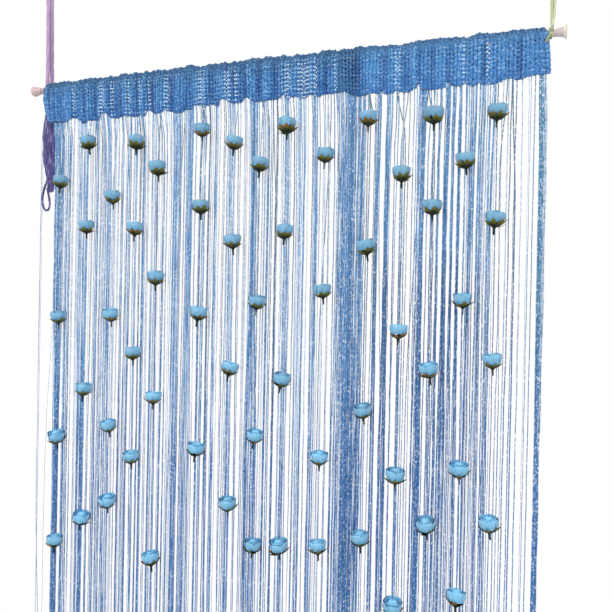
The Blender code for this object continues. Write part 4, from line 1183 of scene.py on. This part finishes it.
    def add_hem(self, surface, x):
        """Thin chains along the hem, where front and back are joined, and under the ridge."""
        fine = np.interp(np.linspace(0, len(x) - 1, 3 * len(x)), np.arange(len(x)), x)
        scallop = 0.0005 * np.abs(np.sin(np.arange(len(fine)) / 6 * math.pi))
        low = sleeve_point(fine, hem_height(fine) + 0.0007 + scallop, -1)[0] + (0, 0.0006, 0)
        high = 0.5 * (sleeve_point(fine, 0.0046, -1)[0] + sleeve_point(fine, 0.0046, 1)[0])
        path, _, through = self.upright_frame(np.stack([low, high]))
        across = np.cross(through, unit(np.gradient(path, axis=1)))
        bead = 0.0010 + 0.0002 * np.cos(np.arange(len(fine)) / 3 * math.tau)
        sweep(surface, path, across, through, np.stack([bead, bead + 0.0004]),
              np.array([[0.0008], [0.0017]]), 6, shade=self.fold_shade(fine)[None], tone=0.3,
              inner=0.0, opening=0.0, bead=0.0, run=(fine - fine[0])[None])


def hanging_depth(x):
    """How far behind the rod the plain strings hang, so that the roses fit in front."""
    near = np.max([np.exp(-((x - r.x) / 0.013) ** 4) for r in ROSE_STRINGS], axis=0)
    return 0.0023 * near


def ease(t):
    t = np.clip(t, 0, 1)
    return t * t * (3 - 2 * t)


def string_heights(count, top, end):
    """Ring heights of one string: close together near the heading, wider apart below."""
    upper = np.linspace(0.0, 0.34, count // 2, endpoint=False)
    lower = np.linspace(0.34, 1.0, count - count // 2)
    steps = np.concatenate([upper ** 1.25 * 0.34 ** -0.25, lower])
    return top + steps * (end - top)


def free_places(count, rng):
    """Places of the strings that hang singly, spread over the gaps between the bands."""
    x = np.linspace(-STRING_REACH, STRING_REACH, 4001)
    open_share = np.interp(x, [-0.389, -0.387, -0.05, 0.15, 0.4035, 0.4045],
                           [0.0, 1.10, 0.95, 0.70, 0.44, 0.0])
    open_share[(x > 0.262) & (x < 0.304)] *= 0.55
    for band in BANDS:
        open_share[np.abs(x - band.centre) < band.half_width + 0.0010] = 0.0
    reached = np.cumsum(open_share)
    steps = (np.arange(count) + rng.uniform(0.12, 0.88, count)) / count
    return np.interp(steps * reached[-1], reached, x)


def drawn_together(x, share):
    """Places drawn towards the middle of the small group of strings that each is in."""
    group = np.searchsorted(GROUP_EDGES, x)
    middle = 0.5 * (GROUP_EDGES[group - 1] + GROUP_EDGES[group])
    return middle + (x - middle) * share


class CURTAIN_OT_strings(bpy.types.Operator):
    """Plain strings of flat yarn, with a metallic thread in them"""
    bl_idname = "curtain.strings"
    bl_label = "Plain strings"

    def execute(self, context):
        settings = context.scene.curtain_strings
        rng = np.random.default_rng(17)
        near, low, tone, slant, settles = self.string_places(settings.count, rng)
        count, rings = len(near), 44
        root = self.root_places(near, slant, rng)
        top = np.where(near < -0.410, -0.030, hem_height(root) + 0.0004)
        rooted = sleeve_point(root, top, -1)[0]
        end = DROP_END + rng.uniform(-DROP_SPREAD, DROP_SPREAD, count)
        heights = np.stack([string_heights(rings, a, b) for a, b in zip(top, end)])
        settle = np.where(slant != 0, settles, rng.uniform(-0.26, -0.10, count))[:, None]
        t = ease((heights - top[:, None]) / (settle - top[:, None]))
        hang = near[:, None] + (low - near)[:, None] * ease((-0.35 - heights) / 0.25)
        x = rooted[:, :1] + (hang - rooted[:, :1]) * t
        drift = np.where(rng.random(count) < 0.16, rng.normal(0, 0.0045, count), 0.0)
        drift = np.where(near > 0.395, 0.0, drift)[:, None]
        from_height = rng.uniform(-0.9, -0.12, count)[:, None]
        x = x + drift * ease((from_height - heights) / 0.35)
        wave = rng.uniform(0.05, 0.16, (count, 1))
        phase = rng.uniform(0, math.tau, (count, 1))
        sway = rng.uniform(0.0001, 0.0005, (count, 1))
        x = x + sway * t * np.sin(heights / wave * math.tau + phase)
        x = np.clip(x, -0.4200, 0.4200)
        hang_y = hanging_depth(x) + rng.uniform(-0.0016, 0.0016, (count, 1))
        drop = ease((top[:, None] - heights) / 0.030)
        y = rooted[:, 1:2] + 0.0008 + (hang_y - rooted[:, 1:2] - 0.0008) * drop
        turn = np.cumsum(rng.normal(0, 0.13, (count, rings)), axis=1)
        turn += rng.normal(0, 0.25, (count, 1))
        width = settings.width / 2 * rng.uniform(0.82, 1.15, (count, 1))
        surface = Surface()
        flat_yarns(surface, np.stack([x, y, heights], axis=-1), turn, width, 0.00030,
                   tone=tone[:, None], run=np.abs(heights - top[:, None]))
        strings = surface.make("plain_strings", string_finish(settings))
        stands_for(strings, "string", "string_strip")
        return {"FINISHED"}

    def root_places(self, near, slant, rng):
        """Where the strings leave the heading, clear of the rose strings."""
        spread = np.linspace(-STRING_REACH, STRING_REACH, len(near))
        root = 0.10 * spread + 0.90 * near + rng.normal(0, 0.0006, len(near))
        for rose in ROSE_STRINGS:
            close = np.abs(root - rose.x) < ROSE_ROOM
            root[close] = rose.x + np.where(root[close] < rose.x, -ROSE_ROOM, ROSE_ROOM)
        root = np.where(root > 0.400, 0.400 + 0.62 * (root - 0.400), root)
        return np.where(slant != 0, near + slant, np.maximum(root, -0.4125))

    def string_places(self, count, rng):
        """Each string's places, its tone, and its slant and where that ends, left to right."""
        near, low, tone = [], [], []
        for band in BANDS:
            n = band.strings
            spread = np.linspace(-1, 1, n) + rng.uniform(-0.5, 0.5, n) / n
            near.append(band.centre + spread * band.half_width)
            low.append(band.centre + spread * band.low_half_width)
            pale = rng.random(n) < 0.15
            tone.append(np.where(pale, 0.95, rng.uniform(0.44, 0.80, n)))
        free = free_places(count - sum(len(n) for n in near) - len(STRAYS), rng)
        near.append(drawn_together(free, 0.72))
        closer = np.interp(free, [-0.05, 0.12], [0.60, 0.42])
        low.append(drawn_together(free, closer) + rng.normal(0, 0.0005, len(free)))
        kind, shade = rng.random(len(free)), rng.random(len(free))
        tone.append(np.select([kind < 0.42, kind < 0.66],
                              [0.05 + 0.22 * shade, 0.45 + 0.35 * shade], 0.95))
        top, settled, settles_at = np.array(STRAYS).T
        near.append(settled)
        low.append(settled)
        tone.append(rng.uniform(0.05, 0.27, len(STRAYS)))
        near, low, tone = (np.concatenate(v) for v in (near, low, tone))
        tone[(near > 0.252) & (near < 0.300) & (tone > 0.9)] = 0.58
        slant, settles = np.zeros(count), np.zeros(count)
        slant[-len(STRAYS):] = top - settled
        settles[-len(STRAYS):] = settles_at
        order = np.argsort(near)
        return [v[order] for v in (near, low, tone, slant, settles)]


def rose_heights(row):
    """Heights of a string's roses from the top down, the pattern repeated to the end."""
    _, *pattern = row
    heights = []
    repeat = 0
    while pattern[0] - repeat * PATTERN_REPEAT > LAST_ROSE:
        heights += [h - repeat * PATTERN_REPEAT for h in pattern]
        repeat += 1
    return [h for h in heights if h > LAST_ROSE]


def ring_points(r, angle, z):
    """Points at radii, angles and heights about the upright axis."""
    x, y, z = np.broadcast_arrays(r * np.cos(angle), r * np.sin(angle), z)
    return np.stack([x, y, z], axis=-1).reshape(-1, 3)


def rose_petals(rng):
    """Points, faces and values of one rosebud's petals, about its own middle."""
    parts = []
    start = rng.uniform(0, math.tau)
    for number, whorl in enumerate(WHORLS):
        t = np.linspace(0, 1, whorl.rows + 1)[:, None]
        a = np.linspace(-1, 1, whorl.columns + 1)[None, :]
        for k in range(whorl.count):
            place = k + 0.5 * (number % 2) + rng.uniform(-0.12, 0.12)
            centre = start + place * math.tau / whorl.count
            tip = whorl.tip + rng.uniform(-0.0009, 0.0009)
            belly = whorl.belly * rng.uniform(0.93, 1.06)
            height = tip - (tip - whorl.base) * 0.10 * np.abs(a) ** 2.4
            z = whorl.base + (height - whorl.base) * (t ** 0.92)
            r = (1 - t) ** 2 * whorl.foot + 2 * t * (1 - t) * belly + t ** 2 * whorl.lip
            r = r + rng.uniform(0.0003, 0.0012) * np.clip((t - 0.72) / 0.28, 0, 1) ** 2
            r = r + 0.0005 * np.abs(a) ** 3 * t + 0.00025 * np.sin(4 * a + k) * t
            spread = whorl.half_angle * (0.62 + 0.38 * np.sin(math.pi * np.clip(t * 0.9, 0, 1)))
            angle = centre + a * spread + 0.10 * t
            z = z - 0.0010 * np.clip((t - 0.82) / 0.18, 0, 1) ** 2
            edge = np.maximum(np.abs(a) ** 4, t ** 8)
            parts.append((ring_points(r, angle, z), grid_faces(whorl.columns, whorl.rows),
                          (t * np.ones_like(a)).reshape(-1), edge.reshape(-1)))
    t = np.linspace(0, 1, 5)[:, None]
    a = np.linspace(0, math.tau, 11)[None, :]
    core = ring_points(0.0090 * np.cos(t * math.pi / 2) ** 0.7, a,
                       -0.0010 + 0.0100 * np.sin(t * math.pi / 2))
    parts.append((core, grid_faces(10, 4), 1.0, 0.0))
    return parts


def rose_leaves(rng):
    """Points, faces and values of one rosebud's leaves, cup and stem."""
    parts = []
    start = rng.uniform(0, math.tau)
    t = np.linspace(0, 1, 7)[:, None]
    a = np.linspace(-1, 1, 5)[None, :]
    half = 0.0044 * np.sin(math.pi * np.clip(0.14 + 0.86 * t, 0, 1)) ** 0.8 + 0.0003 * (1 - t)
    side = a * half
    for k in range(LEAVES):
        centre = start + (k + rng.uniform(-0.15, 0.15)) * math.tau / LEAVES
        reach = rng.uniform(0.0150, 0.0178)
        lift = rng.uniform(-0.0004, 0.0020)
        if rng.random() < 0.10:
            lift = -0.0040
        r = 0.0016 + (reach - 0.0016) * t ** 0.9
        z = -0.0132 + (0.0092 + lift) * t ** 1.15
        z = z + 0.0006 * np.abs(a) * (1 - t)
        z = z + 0.0008 * t ** 4 * rng.choice((-1, 1))
        x = r * math.cos(centre) - side * math.sin(centre)
        y = r * math.sin(centre) + side * math.cos(centre)
        parts.append((np.stack([x, y, z], axis=-1).reshape(-1, 3), grid_faces(4, 6),
                      (0.15 + 0.85 * t * np.ones_like(a)).reshape(-1),
                      (np.abs(a) * np.ones_like(t)).reshape(-1)))
    a = np.linspace(0, math.tau, 11)[None, :]
    z, r = (np.array(column)[:, None] for column in zip(*CUP_RINGS))
    cup = ring_points(r * (1 + 0.05 * np.sin(5 * a)), a, z)
    parts.append((cup, grid_faces(10, len(CUP_RINGS) - 1)[:, ::-1], 0.0, 1.0))
    return parts


class CURTAIN_OT_roses(bpy.types.Operator):
    """Strings with satin rosebuds, in front of the plain strings"""
    bl_idname = "curtain.roses"
    bl_label = "Rose strings"

    def execute(self, context):
        settings = context.scene.curtain_roses
        strings = context.scene.curtain_strings
        rng = np.random.default_rng(29)
        petals, leaves, threads = Surface(), Surface(), Surface()
        for row in ROSE_STRINGS:
            self.add_thread(threads, row, strings, rng)
            for height in rose_heights(row):
                place = (row.x, ROSE_DEPTH, height)
                tone = rng.random()
                lean = rng.normal(0, 0.10, 2)
                size = settings.size * rng.uniform(0.94, 1.04)
                turn = np.array(Matrix.Rotation(lean[0], 3, "X")
                                @ Matrix.Rotation(lean[1], 3, "Y")) * size
                low = np.clip((-0.1 - height) / 0.5, 0, 1)
                for points, faces, along, edge in rose_petals(rng):
                    petals.add(points @ turn.T + place, [faces], height=along, edge=edge,
                               tone=0.35 * tone + 0.65 * low)
                for points, faces, tip, edge in rose_leaves(rng):
                    leaves.add(points @ turn.T + place, [faces], tip=tip, edge=edge, tone=tone)
        nodes = [f"rose_string_{k + 1:02d}" for k in range(len(ROSE_STRINGS))]
        stands_for(petals.make("rose_petals", petal_finish(settings)), "rose", *nodes)
        stands_for(leaves.make("rose_leaves", leaf_finish(settings)), "rose")
        thread_finish = bpy.data.materials.get("blue_string") or string_finish(strings)
        stands_for(threads.make("rose_threads", thread_finish), "string")
        return {"FINISHED"}

    def add_thread(self, surface, row, strings, rng):
        """The yarn that a string's roses are threaded on."""
        rings, upper = 60, 14
        top = float(hem_height(row.x)) + 0.0004
        end = DROP_END + rng.uniform(-DROP_SPREAD, DROP_SPREAD)
        heights = np.concatenate([np.linspace(top, row.first, upper, endpoint=False),
                                  np.linspace(row.first, end, rings - upper)])
        root_y = float(sleeve_point(np.array(row.x), np.array(top), -1)[0][1]) + 0.0004
        t = np.clip((top - heights) / (top - row.first - 0.006), 0, 1)
        y = root_y + (ROSE_DEPTH - root_y) * t
        x = row.x + 0.0002 * np.sin(heights * 40 + row.x * 100) * t
        turn = np.cumsum(rng.normal(0, 0.2, rings))[None] * 0.4
        flat_yarns(surface, np.stack([x, y, heights], axis=-1)[None], turn, strings.width / 2,
                   0.00035, tone=rng.random(), run=(top - heights)[None])


class CURTAIN_OT_rod(bpy.types.Operator):
    """Rod's paint and two flared end caps"""
    bl_idname = "curtain.rod"
    bl_label = "Rod and caps"

    def execute(self, context):
        settings = context.scene.curtain_rod
        paint = rod_finish(settings)
        for slot in frame["nodes"]["rod"].material_slots:
            slot.material = paint
        left = cap_finish("left_cap_plastic", settings.cap, (0.0030, (0.56, 0.42, 0.41)),
                          (0.0140, 0.0150, (0.54, 0.38, 0.37)), (0.0164, (0.46, 0.32, 0.31)))
        right = cap_finish("right_cap_plastic", (0.50, 0.42, 0.42), (0.0030, (0.46, 0.38, 0.38)),
                           (0.0138, 0.0150, (0.93, 0.85, 0.76)), (0.0152, (0.58, 0.54, 0.42)))
        stands_for(self.cap("flared_cap_left", -1, LEFT_CAP, left), "cap", "end_cap_left")
        stands_for(self.cap("flared_cap_right", 1, RIGHT_CAP, right), "cap", "end_cap_right")
        return {"FINISHED"}

    def cap(self, name, side, profile, finish):
        """A flared cap turned about the rod, hollow at its narrow end."""
        sides = 40
        along, radius = (np.array(column)[:, None] for column in zip(*profile))
        angle = np.linspace(0, math.tau, sides, endpoint=False)[None, :]
        points = np.stack([side * (CAP_INNER + along) * np.ones_like(angle),
                           radius * np.cos(angle), radius * np.sin(angle) * side], axis=-1)
        index = np.arange(len(profile) * sides).reshape(-1, sides)
        surface = Surface()
        surface.add(points, [wall_faces(index).reshape(-1, 4), index[-1:]],
                    along=np.repeat(along[:, 0], sides))
        return surface.make(name, finish)


class CURTAIN_PT_panel(bpy.types.Panel):
    """Makes the curtain piece by piece"""
    bl_idname = "CURTAIN_PT_panel"
    bl_label = "String curtain"
    bl_space_type = "VIEW_3D"
    bl_region_type = "UI"
    bl_category = "Curtain"

    def draw(self, context):
        for operator, name, _ in PIECES:
            box = self.layout.box()
            box.operator(operator.bl_idname)
            settings = getattr(context.scene, name)
            for key in settings.__annotations__:
                box.prop(settings, key)


PIECES = (
    (CURTAIN_OT_stage, "curtain_stage", StageSettings),
    (CURTAIN_OT_ties, "curtain_ties", TieSettings),
    (CURTAIN_OT_heading, "curtain_heading", HeadingSettings),
    (CURTAIN_OT_strings, "curtain_strings", StringSettings),
    (CURTAIN_OT_roses, "curtain_roses", RoseSettings),
    (CURTAIN_OT_rod, "curtain_rod", RodSettings),
)


def register():
    for operator, name, group in PIECES:
        bpy.utils.register_class(group)
        bpy.utils.register_class(operator)
        setattr(bpy.types.Scene, name, PointerProperty(type=group))
    bpy.utils.register_class(CURTAIN_PT_panel)


def unregister():
    bpy.utils.unregister_class(CURTAIN_PT_panel)
    for operator, name, group in reversed(PIECES):
        delattr(bpy.types.Scene, name)
        bpy.utils.unregister_class(operator)
        bpy.utils.unregister_class(group)


def main():
    register()
    bpy.ops.curtain.stage()
    bpy.ops.curtain.ties()
    bpy.ops.curtain.heading()
    bpy.ops.curtain.strings()
    bpy.ops.curtain.roses()
    bpy.ops.curtain.rod()


if __name__ == "__main__":
    main()
